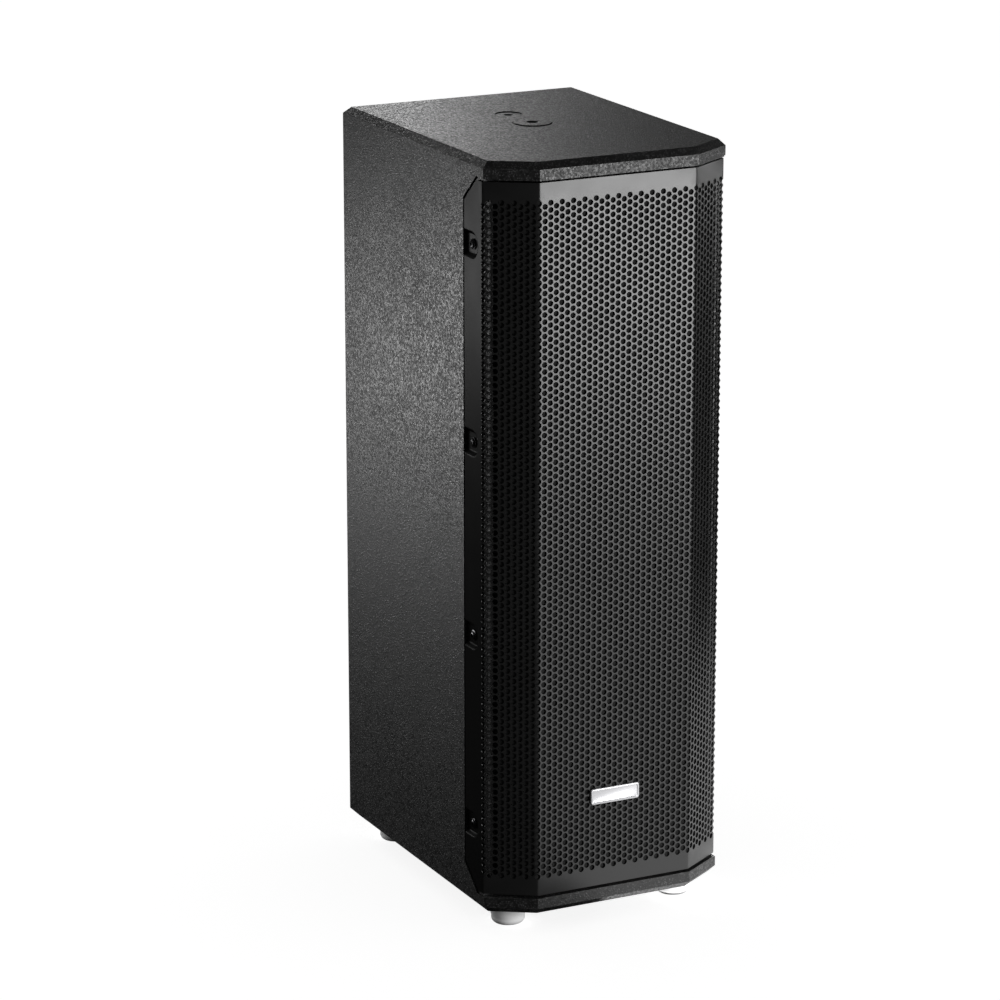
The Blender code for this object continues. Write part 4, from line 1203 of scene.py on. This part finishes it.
# %% Cut the plate
plate_low, plate_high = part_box("amp_plate")
plate_middle = middle_of("amp_plate")
plate_thickness = plate_high.y - plate_low.y
rear_view = Matrix.Translation((plate_middle.x, plate_low.y, plate_middle.z)) @ FACING_BACK


def seen_from_behind(node):
    """The middle of a node as (across, up) on the rear plate."""
    point = middle_of(node)
    return plate_middle.x - point.x, point.z - plate_middle.z


def measured(node):
    """A node's width and height, and the heights of its back and front over the plate's back."""
    low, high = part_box(node)
    return high.x - low.x, high.z - low.z, low.y - plate_low.y, high.y - plate_low.y


def on_plate(at, height=0.0):
    return rear_view @ Matrix.Translation((*at, height))


knob_at = seen_from_behind("volume_knob")
filter_at = seen_from_behind("filter_button")
lift_at = seen_from_behind("lift_button")
led_at = seen_from_behind("status_led")
input_at = seen_from_behind("input_socket")
latch_at = seen_from_behind("input_latch")
link_at = seen_from_behind("link_socket")
inlet_at = seen_from_behind("power_inlet")
switch_at = seen_from_behind("switch_body")

width, height = measured("amp_plate")[:2]
rear_plate = start("rear_plate", prism(round_corners(width, height, 0.006, 8), 0, plate_thickness))
rear_plate.matrix_world = rear_view
soften(rear_plate, 0.0004, 2, 40)
through = (-0.01, 0.01)


def window(at, width, height, radius):
    return prism(round_corners(width, height, radius, 5, at), *through)


openings = [
    rod(0.0047, *through, knob_at, 48),
    window(filter_at, 0.0092, 0.0092, 0.0008),
    window(lift_at, 0.0092, 0.0092, 0.0008),
    rod(0.0029, *through, led_at, 32),
    rod(0.0125, *through, input_at, 64),
    rod(0.0125, *through, link_at, 64),
    window(inlet_at, 0.0290, 0.0220, 0.0015),
    window(switch_at, 0.0285, 0.0205, 0.0008),
]
screw_x, screw_z = width / 2 - 0.006, height / 2 - 0.006
plate_screws = [(sx * screw_x, share * screw_z) for sx in (-1, 1) for share in (-1, -1 / 3, 1 / 3, 1)]
sink = [(0, plate_thickness + 0.001), (0.0040, plate_thickness + 0.001), (0.0032, plate_thickness - 0.0002)]
sink += [(0.0017, 0.0012), (0.0017, -0.001), (0, -0.001)]
sinks = [moved(turned(sink, 32), (x, y, 0)) for x, y in plate_screws]
carve(rear_plate, [gathered(openings), window(latch_at, 0.0076, 0.0056, 0.0004), gathered(sinks)])
settle(rear_plate, black_aluminium, ["amp_plate"])
print("plate", round(width * 1000), "by", round(height * 1000), "mm with", len(openings) + 1, "openings")

# %% Screws with a cross recess
face = plate_thickness
profile = [(0, face - 0.0001), (0.0020, face - 0.0002), (0.0030, face - 0.0005)]
profile += [(0.0015, 0.0014), (0.0015, -0.008), (0, -0.009)]
cross = (0.0017, 0.0003, face - 0.0012, face + 0.002)


def screwed_in(screws, name, profile, steps, cross, at=(0, 0)):
    """A row of screws, each turned by chance as a hand leaves it."""
    for number, (x, y) in enumerate(screws, 1):
        spin = Matrix.Rotation(dice.uniform(0, 1.5), 4, "Z")
        crossed_screw(f"{name}_{number}", profile, steps, cross, on_plate((at[0] + x, at[1] + y)) @ spin)


screwed_in(plate_screws, "plate_screw", profile, 40, cross)
print(len(plate_screws), "countersunk screws")

# %% [markdown]
# ## Printing on the plate
# The scale is printed ink, a tenth of a millimetre thick: short radial strokes at each step
# and plain numbers from 0 to 10. The strokes are small prisms and the numbers are text objects
# turned into meshes, and all of them become one piece, because ink isn't fitted part by part.

# %% Print the scale, the rules and the marks
ink_low, ink_high = plate_thickness, plate_thickness + 0.0001
scale_turn, number_circle = 300, 0.0188


def scale_angle(step_number):
    return math.radians(90 + scale_turn / 2 - scale_turn * step_number / 10)


strokes = []
for step_number in range(11):
    long = 0.0034 if step_number % 5 == 0 else 0.0022
    bar = block((0.0122, -0.00022, ink_low), (0.0122 + long, 0.00022, ink_high))
    strokes.append(moved(turned_by(bar, Matrix.Rotation(scale_angle(step_number), 4, "Z")), (*knob_at, 0)))
rule_half = width / 2 - 0.016
for y in (-0.0185, -0.0880):
    strokes.append(block((-rule_half, y - 0.0002, ink_low), (rule_half, y + 0.0002, ink_high)))
for at in (filter_at, lift_at):
    dot = round_corners(0.0016, 0.0016, 0.0007, 4, (at[0], at[1] + 0.0085))
    strokes.append(prism(dot, ink_low, ink_high))
ring = turned([(0.0046, ink_low), (0.0050, ink_low), (0.0050, ink_high), (0.0046, ink_high)], 48)
strokes.append(moved(ring, (*led_at, 0)))
ink = start("printed_scale", gathered(strokes))


def printed_number(text, at, size):
    curve = bpy.data.curves.new("number", "FONT")
    curve.body = text
    curve.size = size
    curve.align_x = "CENTER"
    curve.align_y = "CENTER"
    curve.extrude = (ink_high - ink_low) / 2
    holder = new_object("number", curve)
    bpy.context.view_layer.update()
    flat = bpy.data.meshes.new_from_object(holder.evaluated_get(bpy.context.evaluated_depsgraph_get()))
    flat.transform(Matrix.Translation((*at, (ink_low + ink_high) / 2)))
    bpy.data.objects.remove(holder)
    return flat


whole = bmesh.new()
whole.from_mesh(ink.data)
for step_number in range(0, 11, 2):
    angle = scale_angle(step_number)
    at = (knob_at[0] + number_circle * math.cos(angle), knob_at[1] + number_circle * math.sin(angle))
    flat = printed_number(str(step_number), at, 0.0042)
    whole.from_mesh(flat)
    bpy.data.meshes.remove(flat)
bmesh.ops.remove_doubles(whole, verts=whole.verts, dist=1e-6)
whole.to_mesh(ink.data)
whole.free()
settle(ink, printed_white, seat=rear_view)
print("scale printed round the knob")

# %% [markdown]
# ## The heat sink
# An extrusion: a thick base with tall fins that are a little thinner at their tips. Its comb
# outline is drawn once, with each fin's taper and round tip, and extruded. Anodising leaves
# such a part nearly black, with fine die lines along it.

# %% Extrude the heat sink
sink_low, sink_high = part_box("heat_sink")
sink_width, _, sink_back, fin_reach = measured("heat_sink")
fin_count = 15
sink_half = sink_width / 2
fin_root, fin_tip = 0.0011, 0.0007
foot_of_fins = sink_back + 0.004
fin_pitch = 2 * (sink_half - fin_root) / (fin_count - 1)
comb = [(sink_half, sink_back)]
for number in range(fin_count):
    x = sink_half - fin_root - fin_pitch * number
    comb += [(x + fin_root, foot_of_fins), (x + fin_tip, fin_reach - fin_tip)]
    comb += arc((x, fin_reach - fin_tip), fin_tip, 30, 150, 4)
    comb += [(x - fin_tip, fin_reach - fin_tip), (x - fin_root, foot_of_fins)]
comb.append((-sink_half, sink_back))
comb = [point for i, point in enumerate(comb) if i == 0 or math.dist(point, comb[i - 1]) > 1e-6]
sink_foot, sink_head = sink_low.z - plate_middle.z, sink_high.z - plate_middle.z
stand_up = Matrix(((1, 0, 0, 0), (0, 0, 1, 0), (0, 1, 0, 0), (0, 0, 0, 1)))
extrusion = turned_by(prism(comb, sink_foot, sink_head), stand_up)
heat_sink = start("finned_heat_sink", extrusion, turn=rear_view)
well, screw_rows = 0.0048, (sink_foot + 0.012, sink_head - 0.012)
sink_screws = [(side * fin_pitch * 4.5, z) for side in (-1, 1) for z in screw_rows]
wells = [block((x - well, z - well, foot_of_fins), (x + well, z + well, 0.1)) for x, z in sink_screws]
carve(heat_sink, wells)
soften(heat_sink, 0.0002, 1, 50)
settle(heat_sink, black_aluminium, ["heat_sink"])
for number, at in enumerate(sink_screws, 1):
    name = f"heat_sink_screw_{number}"
    screw = socket_screw(name, 0.0036, 0.0024, 0.0015, 0.0035, on_plate(at, foot_of_fins), 0.0014)
    settle(screw, dark_steel)
print("heat sink with", fin_count, "fins", round(fin_pitch * 1000, 2), "mm apart")

# %% [markdown]
# ## Controls
# The volume knob is fluted so that fingers can grip it, with a skirt and a white pointer. Its
# flutes come from a formula: the radius of each ring is pinched by a cosine that repeats round
# the knob. The two buttons are dished on top, and the lamp has a domed lens. The knob, the
# buttons, the latch and the rocker ride on bodies of their own, so they move with their joints.

# %% Model the knob
skirt = measured("volume_knob")[0] / 2
flutes, around = 18, 144


def knob_ring(radius, height, flute=0.0):
    points = []
    for i in range(around):
        angle = 2 * math.pi * i / around
        pinch = flute * (0.5 - 0.5 * math.cos(flutes * angle)) ** 1.5
        points.append(((radius - pinch) * math.cos(angle), (radius - pinch) * math.sin(angle), height))
    return points


levels = [
    (0.0022, 0.0, -0.0065), (0.0030, 0.0, -0.0060), (0.0030, 0.0, 0.0045), (skirt - 0.0010, 0.0, 0.0048),
    (skirt, 0.0, 0.0052), (skirt, 0.0, 0.0064), (skirt - 0.0006, 0.0, 0.0070), (0.0092, 0.0, 0.0076),
    (0.0089, 0.0002, 0.0082), (0.0086, 0.0007, 0.0095), (0.0080, 0.0007, 0.0172), (0.0077, 0.0005, 0.0186),
    (0.0070, 0.0001, 0.0193), (0.0062, 0.0, 0.0195), (0.0050, 0.0, 0.0192), (0.0015, 0.0, 0.0190),
]
knob = start("fluted_knob", skin([knob_ring(r, z, f) for r, f, z in levels]), turn=on_plate(knob_at))
top_slot = block((-0.0006, 0.0020, 0.0184), (0.0006, 0.0110, 0.03))
side_slot = block((-0.0006, 0.0074, 0.0068), (0.0006, 0.02, 0.03))
carve(knob, [top_slot, side_slot])
settle(knob, knob_plastic, ["volume_knob"], "volume_knob")
pointer = start("knob_pointer", block((-0.00055, 0.0021, 0.0180), (0.00055, 0.0073, 0.01905)))
soften(pointer, 0.00015, 1)
settle(pointer, printed_white, (), "volume_knob", on_plate(knob_at))
print("knob", round(skirt * 2000), "mm across its skirt, with", flutes, "flutes")

# %% Model the buttons and the lamp
for node, at in (("filter_button", filter_at), ("lift_button", lift_at)):
    side_length, _, bottom, top = measured(node)
    levels = [(0.0005, bottom), (0, bottom + 0.0005), (0, top - 0.0011), (0.0003, top - 0.0003)]
    levels += [(0.0011, top), (0.0018, top - 0.0002), (0.0028, top - 0.0005)]
    cap = start(f"{node}_cap", stacked(side_length, side_length, 0.0012, levels, 5, 0.5, 0.0006))
    settle(cap, knob_plastic, [node], node, on_plate(at))

led_width, _, _, led_top = measured("status_led")
led_radius = led_width / 2
lens_angles = (0, 0.3, 0.6, 0.9, 1.2, 1.5)
lens = [(led_radius * math.sin(a), led_top - led_radius * (1 - math.cos(a))) for a in lens_angles]
lens += [(led_radius, 0.002), (led_radius, -0.0040), (led_radius - 0.0003, -0.0050), (0, -0.0050)]
led = start("lamp_lens", turned(lens, 40))
settle(led, led_lens, ["status_led"], seat=on_plate(led_at))
bezel_ring = [(0.0001, 0.0034), (0.0001, 0.0040), (0.0005, 0.0043), (0.0011, 0.0041), (0.0015, 0.0034)]
bezel = start("lamp_bezel", turned([(led_radius + out, z) for out, z in bezel_ring], 48))
settle(bezel, dark_steel, seat=on_plate(led_at))
print("buttons and lamp are in place")

# %% [markdown]
# ## Sockets
# The input takes either a three-pole plug or a quarter-inch jack, so it has a round slot with a
# jack hole at its centre and a red latch above. The link socket has three pins in a deep well,
# and the mains inlet has three blades. All have moulded flanges with two screws. Each starts as
# a rounded plate with a barrel joined to it, and its wells are cut afterwards.

# %% Mould the round sockets
*flange_size, barrel_end, flange_top = measured("input_socket")
flange_seat = plate_thickness + 0.0003
rim_levels = [(0.0, flange_seat), (0.0, flange_top - 0.0008)]
rim_levels += [(0.0003, flange_top - 0.0002), (0.0009, flange_top)]


def socket_flange(name, size, barrel, screws, wells):
    """A flange with rolled edges, joined to a barrel that reaches in behind the plate."""
    body = start(name, stacked(*size, 0.003, rim_levels, 8, 1.0))
    carve(body, [barrel], "UNION")
    sink = [(0, flange_top + 0.001), (0.0032, flange_top + 0.001), (0.0026, flange_top - 0.0002)]
    sink += [(0.0014, flange_top - 0.0016), (0.0014, flange_seat - 0.001), (0, flange_seat - 0.001)]
    carve(body, [gathered([moved(turned(sink, 28), (x, y, 0)) for x, y in screws])])
    return carve(body, wells)


def flange_screws(name, at, screws):
    profile = [(0, flange_top - 0.0001), (0.0016, flange_top - 0.0001), (0.0024, flange_top - 0.0003)]
    profile += [(0.0012, flange_top - 0.0016), (0.0012, -0.004), (0, -0.004)]
    cross = (0.0013, 0.00024, flange_top - 0.0010, flange_top + 0.001)
    screwed_in(screws, f"{name}_screw", profile, 32, cross, at)


def round_barrel():
    return rod(0.0120, barrel_end, flange_top - 0.0005, steps=64)


corner_screws = [(-0.0095, -0.0120), (0.0095, 0.0120)]
latch_offset = latch_at[1] - input_at[1]
plug_slot = turned([(0.0080, 0.02), (0.0098, 0.02), (0.0098, -0.010), (0.0080, -0.010)], 72)
jack_hole = rod(0.0033, -0.020, 0.02, steps=40)
latch_slot = prism(round_corners(0.0070, 0.0040, 0.0006, 4, (0, latch_offset)), -0.008, 0.02)
dish = [(0, 0.001), (0.0078, 0.001), (0.0072, -0.0012), (0, -0.0012)]
dish = [(radius, flange_top + z) for radius, z in dish]
pin_places = on_circle(0.0056, [math.radians(degrees) for degrees in (-30, 90, 210)])
pin_holes = [rod(0.0011, -0.012, 0.02, place, 24) for place in pin_places]
wells = [plug_slot, jack_hole, latch_slot, turned(dish, 64), *pin_holes]
combo = socket_flange("combination_input", flange_size, round_barrel(), corner_screws, wells)
settle(combo, socket_plastic, ["input_socket"], seat=on_plate(input_at))
flange_screws("input", input_at, corner_screws)
jack_ring = [(0.0033, -0.0012), (0.0033, -0.0002), (0.0036, 0), (0.0042, -0.0002), (0.0044, -0.0012)]
ring = start("jack_ring", turned([(radius, flange_top + z) for radius, z in jack_ring], 48))
settle(ring, zinc, seat=on_plate(input_at))

key_way = prism(round_corners(0.0030, 0.0040, 0.0008, 4, (0, 0.0098)), -0.0120, 0.02)
wells = [rod(0.0098, -0.012, 0.02, steps=72), key_way]
link_body = socket_flange("link_output", flange_size, round_barrel(), corner_screws, wells)
settle(link_body, socket_plastic, ["link_socket"], seat=on_plate(link_at))
flange_screws("link", link_at, corner_screws)
pin_profile = [(0, 0.0012), (0.0006, 0.0010), (0.0012, 0.0002), (0.0012, -0.0122), (0, -0.0122)]
pin_circle = 0.0055
pins = on_circle(pin_circle, [math.radians(degrees) for degrees in (-17, 90, 197)])
for number, (x, y) in enumerate(pins, 1):
    pin = start(f"link_pin_{number}", turned(pin_profile, 24))
    settle(pin, zinc, seat=on_plate((link_at[0] + x, link_at[1] + y)))
print("round sockets are moulded")

# %% Mould the latch, the mains inlet and the switch
width, height, bottom, top = measured("input_latch")
levels = [(0.0002, bottom), (0, bottom + 0.0003), (0, top - 0.0008), (0.0003, top - 0.0002), (0.0008, top)]
latch = start("latch_tab", stacked(width, height, 0.0009, levels, 5, 0.4), turn=on_plate(latch_at))
grip_lines = (-0.0006, 0.0, 0.0006)
grips = [block((-0.002, y - 0.00015, top - 0.00025), (0.002, y + 0.00015, top + 0.001)) for y in grip_lines]
carve(latch, grips)
settle(latch, red_plastic, ["input_latch"], "input_latch")

inlet_screws = [(-0.0195, 0.0), (0.0195, 0.0)]
sunk_box = prism(round_corners(0.0280, 0.0210, 0.0012, 5), barrel_end, flange_top - 0.0005)
slope = 0.0032
well_outline = [(0.0123, -0.0083), (0.0123, 0.0083 - slope), (0.0123 - slope, 0.0083)]
well_outline += [(-x, y) for x, y in reversed(well_outline)]
blade_well = prism(well_outline, -0.015, 0.02)
inlet = socket_flange("mains_inlet", measured("power_inlet")[:2], sunk_box, inlet_screws, [blade_well])
settle(inlet, socket_plastic, ["power_inlet"], seat=on_plate(inlet_at))
flange_screws("inlet", inlet_at, inlet_screws)
for number, (x, y) in enumerate(((-0.007, -0.002), (0.007, -0.002), (0, 0.003)), 1):
    blade_shape = moved(prism(round_corners(0.0020, 0.0040, 0.0006, 3), -0.0152, 0.0), (x, y, 0))
    blade = soften(start(f"inlet_blade_{number}", blade_shape), 0.0003, 2)
    settle(blade, zinc, seat=on_plate(inlet_at))

width, height, bottom, top = measured("switch_body")
levels = [(0.0, flange_seat), (0.0, top - 0.0009), (0.0003, top - 0.0003), (0.0012, top)]
switch_frame = start("switch_frame", stacked(width, height, 0.0015, levels))
carve(switch_frame, [prism(round_corners(0.0275, 0.0195, 0.0008, 4), bottom, top - 0.001)], "UNION")
carve(switch_frame, [prism(round_corners(0.0230, 0.0160, 0.0008, 4), -0.0120, 0.02)])
settle(switch_frame, socket_plastic, ["switch_body"], seat=on_plate(switch_at))
print("latch, inlet and switch frame are moulded")

# %% Mould the rocker, tilted as it lies when off
rocker_pivot = flange_seat - 0.0006
tilt, rocker_half, wing_height, rocker_reach = math.radians(7), 0.0108, 0.0062, 0.0072
dip = rocker_half * math.tan(tilt)
dished_top = []
for i in range(1, 12):
    share = i / 12 * 2 - 1
    dished_top.append((share * rocker_half, wing_height - dip * math.cos(share * math.pi / 2) ** 1.2))
rocker_outline = [(-rocker_half, wing_height), *dished_top, (rocker_half, wing_height)]
rocker_outline += [(rocker_half * 0.98, 0.0030), (rocker_half * 0.75, -0.0035)]
rocker_outline += [(-rocker_half * 0.75, -0.0035), (-rocker_half * 0.98, 0.0030)]
rocker_shape = turned_by(prism(rocker_outline, -rocker_reach, rocker_reach), FACING_FRONT)
rocker_seat = on_plate(switch_at, rocker_pivot) @ Matrix.Rotation(tilt, 4, "Y")
rocker = soften(start("rocker", rocker_shape, turn=rocker_seat), 0.0004, 2, 40)
settle(rocker, knob_plastic, ["power_rocker"], "power_rocker")
line_mark = block((-0.0062, -0.0018, 0.0049), (-0.0058, 0.0018, 0.0056))
ring_mark = turned([(0.0014, -0.0006), (0.0018, -0.0006), (0.0018, 0.0001), (0.0014, 0.0001)], 36)
along_the_dish = Matrix.Rotation(math.radians(-8.8), 4, "Y")
ring_mark = moved(turned_by(ring_mark, along_the_dish), (0.0060, 0, 0.00545))
marks = start("rocker_marks", gathered([line_mark, ring_mark]))
settle(marks, printed_white, (), "power_rocker", rocker_seat)
print("rocker tilts", round(math.degrees(tilt)), "degrees each way")

# %% [markdown]
# ## Woofers, horn and ports
# Drivers are turned work: basket, motor, cone, roll and spider are each one profile spun round
# the driver's axis. Screw modifiers would do that too, but the same helper as above keeps one
# way of working. The cone is slightly curved, the spider has pressed folds, and the basket gets
# six windows. The horn is a row of rings that change from a circle at the throat to a rounded
# rectangle at the mouth. The two cones and the horn's dome ride on bodies of their own.

# %% Profiles of a woofer, as (radius, height above the baffle)
baffle_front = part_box("front_baffle")[0].y
flange_lift = 0.0003


def on_baffle(node):
    centre = middle_of(node)
    return Matrix.Translation((centre.x, baffle_front, centre.z)) @ FACING_FRONT


def way_between(start_point, end_point, steps, sag=0.0):
    """Points from one place to another, along a line that sags in its middle."""
    points = []
    for i in range(steps + 1):
        share = i / steps
        radius = start_point[0] + (end_point[0] - start_point[0]) * share
        height = start_point[1] + (end_point[1] - start_point[1]) * share
        points.append((radius, height - sag * math.sin(math.pi * share)))
    return points


def cone_profile():
    cap_radius, cap_curve, coil = 0.0230, 0.03145, 0.0196
    cap_end = math.asin(cap_radius / cap_curve)
    cap_angles = [cap_end * i / 12 for i in range(12)]
    dome = [(cap_curve * math.sin(a), -0.0100 - cap_curve * (1 - math.cos(a))) for a in cap_angles]
    paper = way_between((cap_radius, -0.0200), (0.0616, 0.0045), 20, 0.0012)
    under = way_between((0.0616, 0.0034), (0.0240, -0.0222), 20, 0.0012)
    former = [(coil, -0.0238), (coil, -0.0560), (coil - 0.0008, -0.0560), (coil - 0.0008, -0.0205)]
    inside = [(r * 0.96, z - 0.0012) for r, z in reversed(dome)]
    return dome + paper + under + former + inside


def roll_profile():
    lip, thickness, middle, roll = 0.0044, 0.0010, 0.0675, 0.0053
    outside = arc((middle, lip), roll, 180, 0, 20)
    inside = arc((middle, lip), roll - thickness, 0, 180, 20)
    edge = [(middle + roll, lip + thickness / 2), (0.0810, lip + thickness / 2), (0.0810, lip)]
    return outside[:-1] + edge + inside


def spider_profile():
    inner, outer, folds, thickness, steps = 0.0204, 0.0420, 4, 0.0006, 48
    upper = []
    for i in range(steps + 1):
        wave = math.sin(2 * math.pi * folds * i / steps)
        upper.append((inner + (outer - inner) * i / steps, -0.0410 + 0.0011 * wave))
    return upper + [(radius, height - thickness) for radius, height in reversed(upper)]


basket_profile = [
    (0.0840, 0.0034), (0.0834, 0.0040), (0.0675, 0.0040), (0.0675, -0.0090), (0.0430, -0.0430),
    (0.0425, -0.0460), (0.0240, -0.0460), (0.0240, -0.0480), (0.0460, -0.0480), (0.0460, -0.0440),
    (0.0705, -0.0100), (0.0720, flange_lift), (0.0840, flange_lift),
]
motor_profile = [
    (0.0060, -0.0483), (0.0175, -0.0483), (0.0175, -0.0700), (0.0215, -0.0700), (0.0215, -0.0483),
    (0.0460, -0.0483), (0.0460, -0.0540), (0.0440, -0.0540), (0.0440, -0.0700), (0.0460, -0.0700),
    (0.0460, -0.0760), (0.0060, -0.0760),
]
print("basket and motor profiles have", len(basket_profile), "and", len(motor_profile), "points")

# %% Spin both woofers
woofer_parts = (
    ("frame", "basket", basket_profile, cast_frame, "cast_frame", 0.0005),
    ("magnet", "motor", motor_profile, motor_steel, "motor_steel", 0.0006),
    ("paper", "cone", cone_profile(), cone_paper, "cone_paper", 0),
    ("roll", "surround", roll_profile(), surround_rubber, "rubber", 0),
    ("cloth", "spider", spider_profile(), spider_cloth, "spider_cloth", 0),
)


def driver_part(name, shape, node, seat, finish, rounding, cuts=()):
    """One part of a driver, riding on the same body as the node that it replaces."""
    piece = start(name, shape)
    if cuts:
        carve(piece, cuts)
    if rounding:
        soften(piece, rounding, 2, 35)
    settle(piece, finish, [node], nodes[node]["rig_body"], seat)


def basket_windows():
    shapes = [prism(round_corners(0.034, 0.022, 0.003, 4, (0, 0.058)), -0.0385, -0.0130) for _ in range(6)]
    return [turned_by(shape, Matrix.Rotation(math.pi / 3 * i, 4, "Z")) for i, shape in enumerate(shapes)]


for woofer in ("upper_woofer", "lower_woofer"):
    seat = on_baffle(f"{woofer}_motor")
    for word, ending, profile, finish, slot_name, rounding in woofer_parts:
        name, node = f"{woofer}_{word}", f"{woofer}_{ending}"
        cuts = basket_windows() if ending == "basket" else ()
        driver_part(name, turned(profile, 96), node, seat, finish, rounding, cuts)
    print(woofer, "stands at", round(middle_of(f"{woofer}_motor").z, 3))

# %% Loft the horn, and spin its driver
wall, horn_depth, horn_face = 0.0025, 0.082, 0.0043
throat_radius = 0.0127
mouth_half_width, mouth_half_height = 0.073, 0.061


def horn_ring(half_width, half_height, power, height, steps=96):
    """A ring between an ellipse, with power 2, and a rectangle, with a high power."""
    points = []
    for i in range(steps):
        angle = 2 * math.pi * (i + 0.5) / steps
        c, s = math.cos(angle), math.sin(angle)
        x = half_width * math.copysign(abs(c) ** (2 / power), c)
        y = half_height * math.copysign(abs(s) ** (2 / power), s)
        points.append((x, y, height))
    return points


def flare_ring(share, grown):
    """The horn's section at a share of the way from mouth to throat, grown by a wall."""
    opening = (1 - share) ** 1.7
    half_width = throat_radius + grown + (mouth_half_width - throat_radius) * opening
    half_height = throat_radius + grown + (mouth_half_height - throat_radius) * opening
    return horn_ring(half_width, half_height, 2 + 3 * opening, horn_face - (horn_face + horn_depth) * share)


sections = 18
shares = [i / sections for i in range(sections + 1)]
collar, collar_front = 0.030, 0.005 - horn_depth
rings = [flare_ring(share, 0) for share in shares]
rings += [horn_ring(collar, collar, 2, -horn_depth), horn_ring(collar, collar, 2, collar_front)]
rings.append(horn_ring(throat_radius + wall, throat_radius + wall, 2, collar_front))
rings += [flare_ring(share, wall) for share in reversed(shares[1:-1])]
rings += [horn_ring(0.075, 0.063, 5, flange_lift), horn_ring(0.084, 0.072, 9, flange_lift)]
rings += [horn_ring(0.084, 0.072, 9, horn_face - 0.0006), horn_ring(0.0834, 0.0714, 9, horn_face)]

driver_front, driver_back, driver_radius, bowl = -horn_depth - 0.0003, -0.112, 0.038, 0.026
driver = [
    (throat_radius, driver_front), (driver_radius, driver_front), (driver_radius, driver_back),
    (bowl, driver_back), (bowl, driver_back + 0.008), (throat_radius, driver_back + 0.008),
]
dome_rim, dome_rise, foil, dome_seat = 0.0240, 0.0080, 0.0004, driver_back + 0.004
dome_angles = [1.4 * i / 14 for i in range(15)]
dome = [(dome_rim * math.sin(a), dome_seat - dome_rise * math.cos(a)) for a in dome_angles]
dome.append((0.0255, dome_seat))
dome += [(radius, height + foil) for radius, height in reversed(dome)]
cap_end = driver_back - 0.020
rear_cap = [
    (0, cap_end), (driver_radius - 0.004, cap_end), (driver_radius, cap_end + 0.004),
    (driver_radius, driver_back - 0.0003), (bowl, driver_back - 0.0003), (bowl, cap_end + 0.003),
    (0, cap_end + 0.003),
]
horn_parts = (
    ("horn_flare", skin(rings, closed=True), "horn", black_plastic, "black_plastic", 0),
    ("horn_magnet", turned(driver, 96), "horn_driver", motor_steel, "motor_steel", 0.0006),
    ("horn_dome", turned(dome, 72), "horn_diaphragm", titanium, "titanium", 0),
    ("horn_rear_cap", turned(rear_cap, 96), "horn_driver_cap", black_plastic, "black_plastic", 0.0006),
)
for name, shape, node, finish, slot_name, rounding in horn_parts:
    driver_part(name, shape, node, on_baffle("horn"), finish, rounding)
print("horn has", sections, "sections")

# %% Spin the two ports
port_bore, port_length = 0.0260, 0.0900
port_profile = arc((0.0300, -0.0010), 0.0036, 180, 60, 10)
port_profile += [(0.0340, 0.0012), (0.0340, flange_lift), (0.0285, flange_lift), (0.0280, -port_length)]
port_profile += [(port_bore, -port_length), (port_bore, -0.0060)]
for side in ("left", "right"):
    node = f"reflex_port_{side}"
    tube = start(f"port_tube_{side}", turned(port_profile, 72))
    settle(tube, black_plastic, [node], seat=on_baffle(node))
print("ports", round(port_bore * 2000), "mm wide inside")

# %% [markdown]
# ## Finishes for the pieces inside
# The baffle, the brace, the amplifier's box and boards, and the wiring already have their true
# forms in the frame, and they sit inside the closed cabinet. They keep those forms and get the
# finishes made above.

# %% A table of which inner piece wears which finish
worn_inside = {
    "front_baffle": cabinet_paint,
    "window_brace": bare_plywood,
    "amp_box": zinc,
    "power_board": circuit_board,
    "signal_board": circuit_board,
    "power_transformer": copper,
    "volume_pot": motor_steel,
    "upper_loom": surround_rubber,
    "lower_loom": surround_rubber,
}
for name, finish in worn_inside.items():
    nodes[name].data.materials.clear()
    nodes[name].data.materials.append(finish)
print("inner pieces finished:", len(worn_inside))
